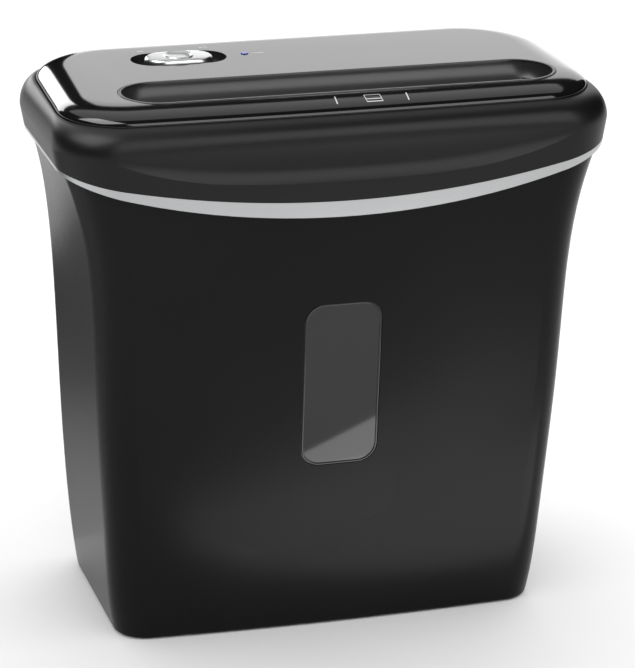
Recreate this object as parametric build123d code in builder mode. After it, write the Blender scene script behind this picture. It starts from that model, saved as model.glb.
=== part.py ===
from build123d import *
import os
from math import acos, cos, pi, radians, sin, sqrt, tan

# Desktop paper shredder: a cutter head that lifts off a tapered waste bin.
# Millimetres. +X right, -Y front, +Z up; the origin is under the middle of the base.

# Waste bin
BIN_BODY_HEIGHTS = [0, 40, 100, 180]
BIN_FLARE_RISES = [-1, 24, 46]
BIN_WIDTHS = [237, 247, 254.8, 262, 270.4, 282, 298]
BIN_FRONT_RADII = [18, 18, 18, 19, 21, 23, 25]
BIN_REAR_RADII = [22, 22, 23, 25, 28, 38, 50]
BIN_SEAT_FRONT = -70.77
BIN_SEAT_BACK = 74.71
BIN_FRONT_LEAN = 3.36
BIN_REAR_LEAN = 1.7
BIN_FRONT_BOW = 4.1
BIN_WALL = 2.6
BIN_FLOOR = 3
BIN_FOOT_RADIUS = 2

# Window in the bin's front wall
WINDOW_WIDTH = 43.2
WINDOW_HEIGHT = 94.2
WINDOW_RADIUS = 11
WINDOW_MIDDLE = 143.3
WINDOW_RECESS = 0.6

# Seats inside the bin that carry the head; every height in the head counts from them
SEAT_HEIGHT = 226
SEAT_WIDTH = 12
SEAT_EDGE = 117
SEAT_LIP = 4
SEAT_DROP = 60
SEAT_YS = [-40, 41]

# Smile-shaped parting line between bin and head, measured at the reference half width
SMILE_HALF = 149
RIM_ABOVE_SEAT = 15
RIM_RISE = 25
BAND_TOP_ABOVE_SEAT = 24
BAND_TOP_RISE = 18.5
PARTING_GAP = 0.3

# Cutter head casing
HEAD_RISES = [10, 25, 40, 55, 67]
HEAD_WIDTHS = [291, 295, 299, 304.4, 305]
HEAD_FRONTS = [-76, -77.5, -76.6, -75.6, -75.2]
HEAD_BACKS = [78.5, 80, 81.2, 82, 82]
HEAD_FRONT_RADIUS = 31
HEAD_REAR_RADIUS = 54
HEAD_FRONT_BOW = 4.5
HEAD_WALL = 3.2
HEAD_FRONT_WALL = 7.5
SHOULDER_RADIUS = 12
BAND_THICKNESS = 1.4
BAND_END = 34

# Scoop along the head's front: a concave sweep from the bowed lip up to the flat wall
WALL_BOW = 0.3
SCOOP_TOP_ABOVE_SEAT = 55
SCOOP_TOP_LEAN = radians(5)
SCOOP_END_LEAN = radians(45)
SCOOP_RADIUS = 59

# Top panel
DECK_DROP = 3
DECK_THICKNESS = 2.5
PANEL_EDGE = 2.6
PANEL_HEIGHT = 9
PANEL_WIDTH = 293
PANEL_TAPER = 5.5
PANEL_FRONT = -63.5
PANEL_BACK = 73
PANEL_FRONT_RADIUS = 34
PANEL_REAR_RADIUS = 45
PANEL_BOW = 3.2
PANEL_BEVEL = 9.4
PANEL_FRONT_BEVEL = 6.5
PANEL_EDGE_RADIUS = 4
PANEL_WALL = 2.5
PANEL_GAP = 0.6

# Feed trough, slot and paper guide
THROAT_X = 8.85
THROAT_Y = -29
THROAT_LENGTH = 222
THROAT_WIDTH = 5
TROUGH_Y = -27.6
TROUGH_LENGTH = 240
TROUGH_WIDTH = 41.6
TROUGH_DEPTH = 14
TROUGH_FLOOR_MARGIN = 2
TROUGH_WALL = 2
TROUGH_RIM = 0.8
GUIDE_PLATE = 2
GUIDE_WALL = 2.5
GUIDE_REACH = 12.5
GUIDE_CLEARANCE = 1.5
SENSOR_SIZE = 4

# Switch and indicator
SWITCH_X = -63.5
SWITCH_Y = 35.5
POCKET_LENGTH = 53
POCKET_WIDTH = 25.5
POCKET_DEPTH = 5
POCKET_WALL = 2
SLIDER_LENGTH = 38
SLIDER_WIDTH = 20.5
SLIDER_HEIGHT = 5.2
SLIDER_EDGE = 3.8
SLIDER_GAP = 0.3
SLIDER_TRAVEL = 7
BUTTON_RADIUS = 7.2
BUTTON_HEIGHT = 1.8
BUTTON_EDGE = 1
DISH_RADIUS = 19
DISH_DEPTH = 0.9
STEM_LENGTH = 6
STEM_WIDTH = 3
STEM_DROP = 6
STEM_CLEARANCE = 0.4
SWITCH_BODY = (30, 11, 12)
SWITCH_GAP = 0.5
LED_X = -26.3
LED_Y = 36.5
LED_RADIUS = 2.2
LED_PROUD = 0.5

# Cutters
CUTTER_PAIRS = 19
CUTTER_RADIUS = 15
CUTTER_OVERLAP = 2.6
CUTTER_ABOVE_SEAT = 32
CUTTER_SIDE_GAP = 0.2
HUB_RADIUS = 8
JOURNAL_RADIUS = 6
RUNNING_GAP = 0.05
HOOKS = 3
HOOK_DEPTH = 3.4
HOOK_RELIEF = 1.2
HOOK_SHARES = [0.06, 0.3, 0.65]
FRAME_GAP = 1.6
COMB_GAP = 0.9
COMB_BAR = 6
COMB_HEIGHT = 12
FINGER_HEIGHT = 6

# Cutter frame
PLATE_THICKNESS = 2
PLATE_FRONT_MARGIN = 0.6
PLATE_CORNER = 6
PLATE_FOOT_CHAMFER = 9
DRIVE_PLATE_BACK = 64
FAR_PLATE_BACK = 13
ROD_RADIUS = 2
ROD_END_RADIUS = 1.4
ROD_HEAD_RADIUS = 2.6
ROD_HEAD = 1
UPPER_ROD_RISE = 18
BUSH_WALL = 2
BUSH_FLANGE = 1
BUSH_FLANGE_RADIUS = 10

# Reduction drive, from the motor to the rear cutter
MOTOR_TEETH = 12
FIRST_TEETH = 42
FIRST_PINION_TEETH = 12
SECOND_TEETH = 36
SECOND_PINION_TEETH = 12
FINAL_TEETH = 36
SYNC_TEETH = 20
FIRST_MODULE = 0.6
SECOND_MODULE = 0.8
FINAL_MODULE = 1
PRESSURE_ANGLE = radians(25)
TIP_HEIGHT = 0.8
ROOT_DEPTH = 1.2
BACKLASH = 0.22
SECOND_GEAR_DIRECTION = radians(20)
FIRST_GEAR_DIRECTION = radians(-30)
MOTOR_DIRECTION = radians(-5)
PIN_RADIUS = 3
PIN_COLLAR_RADIUS = 4.5
PIN_COLLAR = 0.8
LAYER_GAP = 0.8
GEAR_WIDTH = 5
FINAL_WIDTH = 6
GEAR_HUB = 2
SYNC_OFFSET = 1
COVER_GAP = 1
COVER_WALL = 2
LUG_RADIUS = 4.5
REAR_LUG_DIRECTIONS = [radians(225), radians(135)]
MOTOR_LUG_DIRECTION = radians(-55)

# Motor
MOTOR_RADIUS = 22
MOTOR_WALL = 2
MOTOR_FACE = 7
MOTOR_LENGTH = 66
MOTOR_CAP = 8
MOTOR_SHAFT_RADIUS = 2.5
ARMATURE_RADIUS = 16
ARMATURE_LENGTH = 38
COMMUTATOR_RADIUS = 8
COMMUTATOR_LENGTH = 9
MOTOR_PART_GAP = 3
MOTOR_SCREW_CIRCLE = 16.5
MOTOR_OPENING_RADIUS = 6

# Lower housing
TUB_GAP = 1
TUB_WALL = 2
TUB_FLOOR = 2.5
TUB_LAP = 3
OUTLET_MARGIN = 1
OUTLET_FRONT = -58
OUTLET_BACK = -1
PAD_WIDTH = 6
PAD_HEIGHT = 3.5
POST_RADIUS = 5
POST_HEIGHT = 24
POSTS = [(-122, -55), (124, 22), (-119, 57.5), (119, 57.5)]
SCREW_SEAT_DEPTH = 12

# Control board and interlock
BOARD_X = 57
BOARD_Y = 44
BOARD_LENGTH = 72
BOARD_WIDTH = 42
BOARD_THICKNESS = 1.6
BOARD_ABOVE_SEAT = 14
BOARD_MARGIN = 4
STANDOFF_RADIUS = 3.5
RELAY_SIZE = (20, 16, 16)
RELAY_X = -14.4
CAPACITOR_RADIUS = 6
CAPACITOR_HEIGHT = 22
CAPACITOR_X = 9
CONNECTOR_SIZE = (12, 8, 10)
CONNECTOR_X = 24
INTERLOCK_X = 124
PLUNGER_RADIUS = 2.5
PLUNGER_GAP = 0.2
PLUNGER_COLLAR = 1
PLUNGER_LENGTH = 22
PLUNGER_TRAVEL = 3
INTERLOCK_BODY = (10, 20, 17)
INTERLOCK_OFFSET = 9
LEVER_THICKNESS = 1

# Cord gland and vents in the rear wall
GLAND_X = 103
GLAND_ABOVE_SEAT = 45
GLAND_BORE = 3.6
GLAND_RADIUS = 6
GLAND_FLANGE_RADIUS = 8.6
GLAND_FLANGE = 2
GLAND_INNER_END = 70
GLAND_SEAT = 78
GLAND_BOSS_RADIUS = 10.5
ENTRY_WIDTH = 26
ENTRY_RISE = 12.5
VENT_COUNT = 12
VENT_PITCH = 6
VENT_WIDTH = 2.5
VENT_HEIGHT = 16
VENT_X = -68
VENT_ABOVE_SEAT = 44

# Screws
SCREW_RADIUS = 1.9
SCREW_HEAD_RADIUS = 3.6
SCREW_HEAD = 2.4
SCREW_LENGTH = 24
SCREW_GAP = 0.2
SMALL_SCREW_RADIUS = 1.4
SMALL_HEAD_RADIUS = 2.6
SMALL_HEAD = 1.6
BOARD_SCREW_LENGTH = 7
SCREW_TIP_GAP = 1
MOTOR_SCREW_LENGTH = 6

REACH = 220

# Derived heights
bin_heights = BIN_BODY_HEIGHTS + [SEAT_HEIGHT + rise for rise in BIN_FLARE_RISES]
head_heights = [SEAT_HEIGHT + rise for rise in HEAD_RISES]
rim_middle = SEAT_HEIGHT + RIM_ABOVE_SEAT
band_top_middle = SEAT_HEIGHT + BAND_TOP_ABOVE_SEAT
scoop_top = SEAT_HEIGHT + SCOOP_TOP_ABOVE_SEAT
deck_top = head_heights[-1] - DECK_DROP
deck_underside = deck_top - DECK_THICKNESS
panel_edge_top = deck_top + PANEL_EDGE
panel_top = deck_top + PANEL_HEIGHT
pocket_floor = panel_top - POCKET_DEPTH
trough_floor = panel_top - TROUGH_DEPTH
guide_plate_base = trough_floor - TROUGH_WALL - GUIDE_PLATE
cutter_height = SEAT_HEIGHT + CUTTER_ABOVE_SEAT
upper_rod_height = cutter_height + UPPER_ROD_RISE
floor_top = SEAT_HEIGHT + TUB_FLOOR
post_top = SEAT_HEIGHT + POST_HEIGHT
screw_seat = SEAT_HEIGHT + SCREW_SEAT_DEPTH
board_base = SEAT_HEIGHT + BOARD_ABOVE_SEAT
gland_z = SEAT_HEIGHT + GLAND_ABOVE_SEAT
vent_z = SEAT_HEIGHT + VENT_ABOVE_SEAT

# Derived places
throat_left = THROAT_X - THROAT_LENGTH / 2
throat_right = THROAT_X + THROAT_LENGTH / 2
drive_plate_inner = throat_left - FRAME_GAP
drive_plate_outer = drive_plate_inner - PLATE_THICKNESS
far_plate_inner = throat_right + FRAME_GAP
far_plate_outer = far_plate_inner + PLATE_THICKNESS
cutter_distance = 2 * CUTTER_RADIUS - CUTTER_OVERLAP
front_axis = (THROAT_Y - cutter_distance / 2, cutter_height)
rear_axis = (THROAT_Y + cutter_distance / 2, cutter_height)
cutter_pitch = THROAT_LENGTH / (2 * CUTTER_PAIRS + 1)
sync_module = cutter_distance / SYNC_TEETH
front_bar = front_axis[0] - CUTTER_RADIUS - COMB_GAP - COMB_BAR / 2
rear_bar = rear_axis[0] + CUTTER_RADIUS + COMB_GAP + COMB_BAR / 2
plate_front = front_bar - COMB_BAR / 2 - PLATE_FRONT_MARGIN
first_layer = drive_plate_outer - PIN_COLLAR
second_layer = first_layer - GEAR_WIDTH - LAYER_GAP
third_layer = second_layer - GEAR_WIDTH - LAYER_GAP
drive_end = third_layer - FINAL_WIDTH
cover_inner = drive_end - COVER_GAP
cover_outer = cover_inner - COVER_WALL
sync_start = far_plate_outer + SYNC_OFFSET
sync_end = sync_start + FINAL_WIDTH
motor_end = drive_plate_inner + MOTOR_LENGTH
interlock_y = SEAT_YS[1]


def stepped(start, distance, direction):
    """Point at a distance from a start point, in the YZ plane."""
    return (start[0] + distance * cos(direction), start[1] + distance * sin(direction))


final_distance = (FINAL_TEETH + SECOND_PINION_TEETH) * FINAL_MODULE / 2
second_distance = (SECOND_TEETH + FIRST_PINION_TEETH) * SECOND_MODULE / 2
first_distance = (FIRST_TEETH + MOTOR_TEETH) * FIRST_MODULE / 2
second_axis = stepped(rear_axis, final_distance, SECOND_GEAR_DIRECTION)
first_axis = stepped(second_axis, second_distance, FIRST_GEAR_DIRECTION)
motor_axis = stepped(first_axis, first_distance, MOTOR_DIRECTION)
cover_lugs = [
    stepped(rear_axis, FINAL_TEETH * FINAL_MODULE / 2 + LUG_RADIUS + COVER_WALL, REAR_LUG_DIRECTIONS[0]),
    stepped(rear_axis, FINAL_TEETH * FINAL_MODULE / 2 + LUG_RADIUS + COVER_WALL, REAR_LUG_DIRECTIONS[1]),
    stepped(motor_axis, MOTOR_TEETH * FIRST_MODULE / 2 + LUG_RADIUS + COVER_WALL, MOTOR_LUG_DIRECTION),
]
motor_screws_at = [
    stepped(motor_axis, MOTOR_SCREW_CIRCLE, pi / 2),
    stepped(motor_axis, MOTOR_SCREW_CIRCLE, -pi / 2),
]
board_screws_at = [
    (BOARD_X + side * (BOARD_LENGTH / 2 - BOARD_MARGIN), BOARD_Y + end * (BOARD_WIDTH / 2 - BOARD_MARGIN))
    for side in (-1, 1)
    for end in (-1, 1)
]


# Profiles shared by several pieces
def outline(height, half_width, front, back, front_radius, rear_radius, bow, taper=0):
    """Plan outline at one height: bowed front edge, rounded corners, sides drawn in to the rear."""
    with BuildSketch(Plane.XY.offset(height)) as face:
        with BuildLine():
            ThreePointArc((-half_width, front), (0, front - bow), (half_width, front))
            Polyline(
                (half_width, front),
                (half_width - taper, back),
                (taper - half_width, back),
                (-half_width, front),
            )
        make_face()
        fillet(face.vertices().group_by(Axis.Y)[0], front_radius)
        fillet(face.vertices().group_by(Axis.Y)[-1], rear_radius)
    return face.sketch


def bin_sections(inset):
    """Outlines up the bin, drawn in from its outer face."""
    sections = []
    for height, width, front_radius, rear_radius in zip(
        bin_heights, BIN_WIDTHS, BIN_FRONT_RADII, BIN_REAR_RADII
    ):
        front = BIN_SEAT_FRONT - (height - SEAT_HEIGHT) * tan(radians(BIN_FRONT_LEAN)) + inset
        back = BIN_SEAT_BACK + (height - SEAT_HEIGHT) * tan(radians(BIN_REAR_LEAN)) - inset
        sections.append(
            outline(
                height,
                width / 2 - inset,
                front,
                back,
                front_radius - inset,
                rear_radius - inset,
                BIN_FRONT_BOW,
            )
        )
    return sections


def head_sections(inset, front_inset, top, bow):
    """Outlines up the head, drawn in from its outer face and ending at a given height."""
    sections = []
    for height, width, front, back in zip(head_heights, HEAD_WIDTHS, HEAD_FRONTS, HEAD_BACKS):
        sections.append(
            outline(
                min(height, top),
                width / 2 - inset,
                front + front_inset,
                back - inset,
                HEAD_FRONT_RADIUS - front_inset,
                HEAD_REAR_RADIUS - inset,
                bow,
            )
        )
    return sections


def smile_height(x, middle, rise):
    """Height of a smile arc at one distance from the middle."""
    radius = (SMILE_HALF**2 + rise**2) / (2 * rise)
    return middle + radius - sqrt(radius**2 - x**2)


def above_smile(middle, rise):
    """Everything above a smile arc, as a face seen from the front."""
    side = SMILE_HALF + HEAD_FRONT_RADIUS / 2
    end = smile_height(side, middle, rise)
    with BuildSketch(Plane.XZ) as face:
        with BuildLine():
            ThreePointArc((-side, end), (0, middle), (side, end))
            Polyline((side, end), (side, panel_top + REACH), (-side, panel_top + REACH), (-side, end))
        make_face()
    return face.sketch


def trough_face(height, length, width, middle, margin):
    """Stadium across the feed trough at one height."""
    with BuildSketch(Plane.XY.offset(height)) as face:
        with Locations((THROAT_X, middle)):
            SlotOverall(length + 2 * margin, width + 2 * margin)
    return face.sketch


def involute(angle):
    """Involute function used for tooth thickness."""
    return tan(angle) - angle


def gear_face(x, axis, teeth, module, phase):
    """Spur gear across the X axis: involute flank points, thinned by the backlash."""
    pitch = teeth * module / 2
    base = pitch * cos(PRESSURE_ANGLE)
    radii = [pitch - ROOT_DEPTH * module, pitch, pitch + TIP_HEIGHT * module]
    half_pitch_angle = pi / (2 * teeth) - BACKLASH / (2 * pitch)
    flank = []
    for radius in radii:
        pressure = acos(base / max(radius, base))
        flank.append((radius, half_pitch_angle + involute(PRESSURE_ANGLE) - involute(pressure)))
    points = []
    for tooth in range(teeth):
        middle = phase + 2 * pi * tooth / teeth
        for radius, angle in flank:
            points.append(stepped(axis, radius, middle - angle))
        for radius, angle in reversed(flank):
            points.append(stepped(axis, radius, middle + angle))
    with BuildSketch(Plane.YZ.offset(x)) as face:
        with BuildLine():
            Polyline(*points, close=True)
        make_face()
    return face.sketch


def meshed_phase(phase, teeth, direction, mate_teeth):
    """Phase that puts a mating gear's space on this gear's tooth."""
    offset = (phase - direction) * teeth / (2 * pi)
    return direction + pi + (0.5 - offset) * 2 * pi / mate_teeth


def disc_face(x, axis, turn):
    """Cross-cut disc with hooked teeth."""
    steps = [
        (CUTTER_RADIUS, 0),
        (CUTTER_RADIUS - HOOK_DEPTH, HOOK_SHARES[0]),
        (CUTTER_RADIUS - HOOK_RELIEF, HOOK_SHARES[1]),
        (CUTTER_RADIUS - HOOK_RELIEF / 3, HOOK_SHARES[2]),
    ]
    points = []
    for hook in range(HOOKS):
        for radius, share in steps:
            points.append(stepped(axis, radius, turn + 2 * pi * (hook + share) / HOOKS))
    with BuildSketch(Plane.YZ.offset(x)) as face:
        with BuildLine():
            Polyline(*points, close=True)
        make_face()
    return face.sketch


def round_face(x, centres, radius):
    """Circles across the X axis."""
    with BuildSketch(Plane.YZ.offset(x)) as face:
        with Locations(*centres):
            Circle(radius)
    return face.sketch


def dot_face(height, centres, radius):
    """Circles across the Z axis."""
    with BuildSketch(Plane.XY.offset(height)) as face:
        with Locations(*centres):
            Circle(radius)
    return face.sketch


def cover_face(x, inset):
    """Outline of the gearbox cover, wrapped round the gears and screw lugs."""
    rounds = [
        (rear_axis, FINAL_TEETH * FINAL_MODULE / 2),
        (second_axis, SECOND_TEETH * SECOND_MODULE / 2),
        (first_axis, FIRST_TEETH * FIRST_MODULE / 2),
        (motor_axis, MOTOR_TEETH * FIRST_MODULE / 2 + COVER_WALL),
    ]
    with BuildSketch(Plane.YZ.offset(x)) as face:
        with BuildLine(Plane.XY, mode=Mode.PRIVATE) as wrapped:
            for axis, radius in rounds:
                CenterArc(axis, radius + FINAL_MODULE + COVER_GAP + COVER_WALL - inset, 0, 360)
            for lug in cover_lugs:
                CenterArc(lug, LUG_RADIUS - inset, 0, 360)
        make_hull(wrapped.edges())
    return face.sketch


# Waste bin
with BuildPart() as bin_outer:
    loft(bin_sections(0))

with BuildPart() as bin_hollow:
    loft(bin_sections(BIN_WALL))
    split(bisect_by=Plane.XY.offset(BIN_FLOOR), keep=Keep.TOP)

with BuildPart() as seat_ribs:
    inner_side = max(BIN_WIDTHS) / 2
    for y in SEAT_YS:
        with BuildSketch(Plane.XZ.offset(-y)) as rib:
            with BuildLine():
                Polyline(
                    (SEAT_EDGE, SEAT_HEIGHT),
                    (inner_side, SEAT_HEIGHT),
                    (inner_side, SEAT_HEIGHT - SEAT_DROP),
                    (SEAT_EDGE, SEAT_HEIGHT - SEAT_LIP),
                    close=True,
                )
            make_face()
            mirror(about=Plane.YZ)
        extrude(amount=SEAT_WIDTH / 2, both=True)
    add(bin_outer.part, mode=Mode.INTERSECT)

with BuildPart() as window_block:
    with BuildSketch(Plane.XZ) as pane:
        with Locations((0, WINDOW_MIDDLE)):
            RectangleRounded(WINDOW_WIDTH, WINDOW_HEIGHT, WINDOW_RADIUS)
    extrude(amount=REACH)

with BuildPart() as bin_shell:
    add(bin_outer.part)
    fillet(bin_shell.faces().sort_by(Axis.Z)[0].edges(), BIN_FOOT_RADIUS)
    add(bin_hollow.part, mode=Mode.SUBTRACT)
    add(seat_ribs.part)
    add(window_block.part, mode=Mode.SUBTRACT)
    extrude(above_smile(rim_middle, RIM_RISE), amount=REACH, both=True, mode=Mode.SUBTRACT)

with BuildPart() as bin_window:
    loft(bin_sections(WINDOW_RECESS))
    add(bin_hollow.part, mode=Mode.SUBTRACT)
    add(window_block.part, mode=Mode.INTERSECT)

# Cutter head casing
with BuildPart() as head_wall:
    loft(head_sections(0, 0, head_heights[-1], WALL_BOW))
    fillet(head_wall.faces().sort_by(Axis.Z)[-1].edges(), SHOULDER_RADIUS)

with BuildPart() as head_lip:
    loft(head_sections(0, 0, head_heights[-1], HEAD_FRONT_BOW))
    wall_front = HEAD_FRONTS[HEAD_RISES.index(SCOOP_TOP_ABOVE_SEAT)] - WALL_BOW
    scoop_centre = (
        wall_front - SCOOP_RADIUS * cos(SCOOP_TOP_LEAN),
        scoop_top + SCOOP_RADIUS * sin(SCOOP_TOP_LEAN),
    )
    scoop_points = [
        stepped(scoop_centre, SCOOP_RADIUS, -lean)
        for lean in (SCOOP_TOP_LEAN, (SCOOP_TOP_LEAN + SCOOP_END_LEAN) / 2, SCOOP_END_LEAN)
    ]
    with BuildSketch(Plane.YZ) as scoop:
        with BuildLine():
            ThreePointArc(*scoop_points)
            Polyline(
                scoop_points[-1],
                (-REACH, scoop_points[-1][1]),
                (-REACH, scoop_top + REACH),
                (REACH, scoop_top + REACH),
                (REACH, scoop_top),
                scoop_points[0],
            )
        make_face()
    extrude(amount=REACH, both=True, mode=Mode.SUBTRACT)

with BuildPart() as head_outer:
    add(head_wall.part)
    add(head_lip.part)
    extrude(
        above_smile(rim_middle + PARTING_GAP, RIM_RISE), amount=REACH, both=True, mode=Mode.INTERSECT
    )

with BuildPart() as trim_band:
    add(head_outer.part)
    extrude(above_smile(band_top_middle, BAND_TOP_RISE), amount=REACH, both=True, mode=Mode.SUBTRACT)
    loft(
        head_sections(BAND_THICKNESS, BAND_THICKNESS, head_heights[-1], HEAD_FRONT_BOW),
        mode=Mode.SUBTRACT,
    )
    split(bisect_by=Plane.XZ.offset(-BAND_END), keep=Keep.TOP)

with BuildPart() as head_hollow:
    loft(head_sections(HEAD_WALL, HEAD_FRONT_WALL, deck_underside, HEAD_FRONT_BOW))

with BuildPart() as panel_seat:
    extrude(
        outline(
            deck_top,
            PANEL_WIDTH / 2 + PANEL_GAP,
            PANEL_FRONT - PANEL_GAP,
            PANEL_BACK + PANEL_GAP,
            PANEL_FRONT_RADIUS + PANEL_GAP,
            PANEL_REAR_RADIUS + PANEL_GAP,
            PANEL_BOW,
            PANEL_TAPER,
        ),
        amount=REACH,
    )

with BuildPart() as entry_block:
    with BuildSketch(Plane.XZ.offset(-GLAND_INNER_END)) as notch:
        with Locations((GLAND_X, gland_z + ENTRY_RISE)):
            Rectangle(ENTRY_WIDTH, REACH, align=(Align.CENTER, Align.MAX))
    extrude(amount=-REACH)

with BuildPart() as upper_housing:
    add(head_outer.part)
    add(head_hollow.part, mode=Mode.SUBTRACT)
    extrude(dot_face(post_top, POSTS, POST_RADIUS), amount=deck_underside - post_top)
    add(entry_block.part, mode=Mode.SUBTRACT)
    add(panel_seat.part, mode=Mode.SUBTRACT)
    add(trim_band.part, mode=Mode.SUBTRACT)
    extrude(
        trough_face(deck_underside, TROUGH_LENGTH, TROUGH_WIDTH, TROUGH_Y, 0),
        amount=DECK_THICKNESS,
        mode=Mode.SUBTRACT,
    )
    with BuildSketch(Plane.XY.offset(deck_underside)) as switch_opening:
        with Locations((SWITCH_X, SWITCH_Y)):
            Rectangle(SWITCH_BODY[0] + 2 * SWITCH_GAP, SWITCH_BODY[1] + 2 * SWITCH_GAP)
    extrude(amount=DECK_THICKNESS, mode=Mode.SUBTRACT)
    extrude(dot_face(post_top, POSTS, SCREW_RADIUS), amount=SCREW_LENGTH, mode=Mode.SUBTRACT)
    with BuildSketch(Plane.XZ.offset(-GLAND_INNER_END)) as vents:
        with Locations((VENT_X, vent_z)):
            with GridLocations(VENT_PITCH, 1, VENT_COUNT, 1):
                SlotOverall(VENT_HEIGHT, VENT_WIDTH, rotation=90)
    extrude(amount=-REACH, mode=Mode.SUBTRACT)

# Top panel
with BuildPart() as panel_block:
    base = (
        PANEL_WIDTH / 2,
        PANEL_FRONT,
        PANEL_BACK,
        PANEL_FRONT_RADIUS,
        PANEL_REAR_RADIUS,
        PANEL_BOW,
        PANEL_TAPER,
    )
    top = (
        PANEL_WIDTH / 2 - PANEL_BEVEL,
        PANEL_FRONT + PANEL_FRONT_BEVEL,
        PANEL_BACK - PANEL_BEVEL,
        PANEL_FRONT_RADIUS - PANEL_FRONT_BEVEL,
        PANEL_REAR_RADIUS - PANEL_BEVEL,
        PANEL_BOW,
        PANEL_TAPER,
    )
    extrude(outline(deck_top, *base), amount=panel_edge_top - deck_top)
    loft([outline(panel_edge_top, *base), outline(panel_top, *top)], ruled=True)

with BuildPart() as panel_hollow:
    inner = (
        PANEL_WIDTH / 2 - PANEL_BEVEL - PANEL_WALL,
        PANEL_FRONT + PANEL_FRONT_BEVEL + PANEL_WALL,
        PANEL_BACK - PANEL_BEVEL - PANEL_WALL,
        PANEL_FRONT_RADIUS - PANEL_FRONT_BEVEL - PANEL_WALL,
        PANEL_REAR_RADIUS - PANEL_BEVEL - PANEL_WALL,
        PANEL_BOW,
        PANEL_TAPER,
    )
    extrude(outline(deck_top, *inner), amount=panel_top - PANEL_WALL - deck_top)

with BuildPart() as trough_tub:
    slot_length = THROAT_LENGTH + 2 * TROUGH_FLOOR_MARGIN
    slot_width = THROAT_WIDTH + 2 * TROUGH_FLOOR_MARGIN
    loft(
        [
            trough_face(trough_floor - TROUGH_WALL, slot_length, slot_width, THROAT_Y, TROUGH_WALL),
            trough_face(panel_top - TROUGH_WALL, TROUGH_LENGTH, TROUGH_WIDTH, TROUGH_Y, TROUGH_WALL),
        ],
        ruled=True,
    )

with BuildPart() as top_panel:
    add(panel_block.part)
    fillet(top_panel.faces().sort_by(Axis.Z)[-1].edges(), PANEL_EDGE_RADIUS)
    add(panel_hollow.part, mode=Mode.SUBTRACT)
    add(trough_tub.part)
    with BuildSketch(Plane.XY.offset(pocket_floor - POCKET_WALL)) as pocket_outside:
        with Locations((SWITCH_X, SWITCH_Y)):
            SlotOverall(POCKET_LENGTH + 2 * POCKET_WALL, POCKET_WIDTH + 2 * POCKET_WALL)
    extrude(amount=POCKET_WALL + POCKET_DEPTH - PANEL_WALL)
    loft(
        [
            trough_face(trough_floor, slot_length, slot_width, THROAT_Y, 0),
            trough_face(panel_top, TROUGH_LENGTH, TROUGH_WIDTH, TROUGH_Y, 0),
        ],
        ruled=True,
        mode=Mode.SUBTRACT,
    )
    loft(
        [
            trough_face(panel_top - TROUGH_RIM, TROUGH_LENGTH, TROUGH_WIDTH, TROUGH_Y, -TROUGH_RIM),
            trough_face(panel_top, TROUGH_LENGTH, TROUGH_WIDTH, TROUGH_Y, TROUGH_RIM),
        ],
        ruled=True,
        mode=Mode.SUBTRACT,
    )
    with BuildSketch(Plane.XY.offset(trough_floor)) as feed_slot:
        with Locations((THROAT_X, THROAT_Y)):
            Rectangle(THROAT_LENGTH, THROAT_WIDTH)
    extrude(amount=-TROUGH_WALL, mode=Mode.SUBTRACT)
    with BuildSketch(Plane.XY.offset(pocket_floor)) as pocket:
        with Locations((SWITCH_X, SWITCH_Y)):
            SlotOverall(POCKET_LENGTH, POCKET_WIDTH)
    extrude(amount=REACH, mode=Mode.SUBTRACT)
    with BuildSketch(Plane.XY.offset(pocket_floor)) as stem_slot:
        with Locations((SWITCH_X, SWITCH_Y)):
            Rectangle(
                STEM_LENGTH + 2 * SLIDER_TRAVEL + 2 * STEM_CLEARANCE, STEM_WIDTH + 2 * STEM_CLEARANCE
            )
    extrude(amount=-POCKET_WALL, mode=Mode.SUBTRACT)
    extrude(dot_face(deck_top, [(LED_X, LED_Y)], LED_RADIUS), amount=REACH, mode=Mode.SUBTRACT)

with BuildPart() as led_lens:
    extrude(dot_face(deck_top, [(LED_X, LED_Y)], LED_RADIUS), amount=panel_top + LED_PROUD - deck_top)
    fillet(led_lens.edges().group_by(Axis.Z)[-1], LED_PROUD)

# Slide switch
with BuildPart() as switch_slider:
    with BuildSketch(Plane.XY.offset(pocket_floor + SLIDER_GAP)) as cap:
        with Locations((SWITCH_X, SWITCH_Y)):
            SlotOverall(SLIDER_LENGTH, SLIDER_WIDTH)
    extrude(amount=SLIDER_HEIGHT)
    fillet(switch_slider.edges().group_by(Axis.Z)[-1], SLIDER_EDGE)
    slider_top = pocket_floor + SLIDER_GAP + SLIDER_HEIGHT
    extrude(dot_face(slider_top, [(SWITCH_X, SWITCH_Y)], BUTTON_RADIUS), amount=BUTTON_HEIGHT)
    fillet(switch_slider.edges().group_by(Axis.Z)[-1], BUTTON_EDGE)
    with Locations((SWITCH_X, SWITCH_Y, slider_top + BUTTON_HEIGHT + DISH_RADIUS - DISH_DEPTH)):
        Sphere(DISH_RADIUS, mode=Mode.SUBTRACT)
    with BuildSketch(Plane.XY.offset(pocket_floor + SLIDER_GAP)) as stem:
        with Locations((SWITCH_X, SWITCH_Y)):
            Rectangle(STEM_LENGTH, STEM_WIDTH)
    extrude(amount=-STEM_DROP)

with BuildPart() as slide_switch:
    body_top = pocket_floor - POCKET_WALL
    with BuildSketch(Plane.XY.offset(body_top)) as body:
        with Locations((SWITCH_X, SWITCH_Y)):
            Rectangle(SWITCH_BODY[0], SWITCH_BODY[1])
    extrude(amount=-SWITCH_BODY[2])
    with BuildSketch(Plane.XY.offset(body_top)) as stem_track:
        with Locations((SWITCH_X, SWITCH_Y)):
            Rectangle(
                STEM_LENGTH + 2 * SLIDER_TRAVEL + 2 * STEM_CLEARANCE, STEM_WIDTH + 2 * STEM_CLEARANCE
            )
    extrude(amount=-STEM_DROP, mode=Mode.SUBTRACT)

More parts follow.
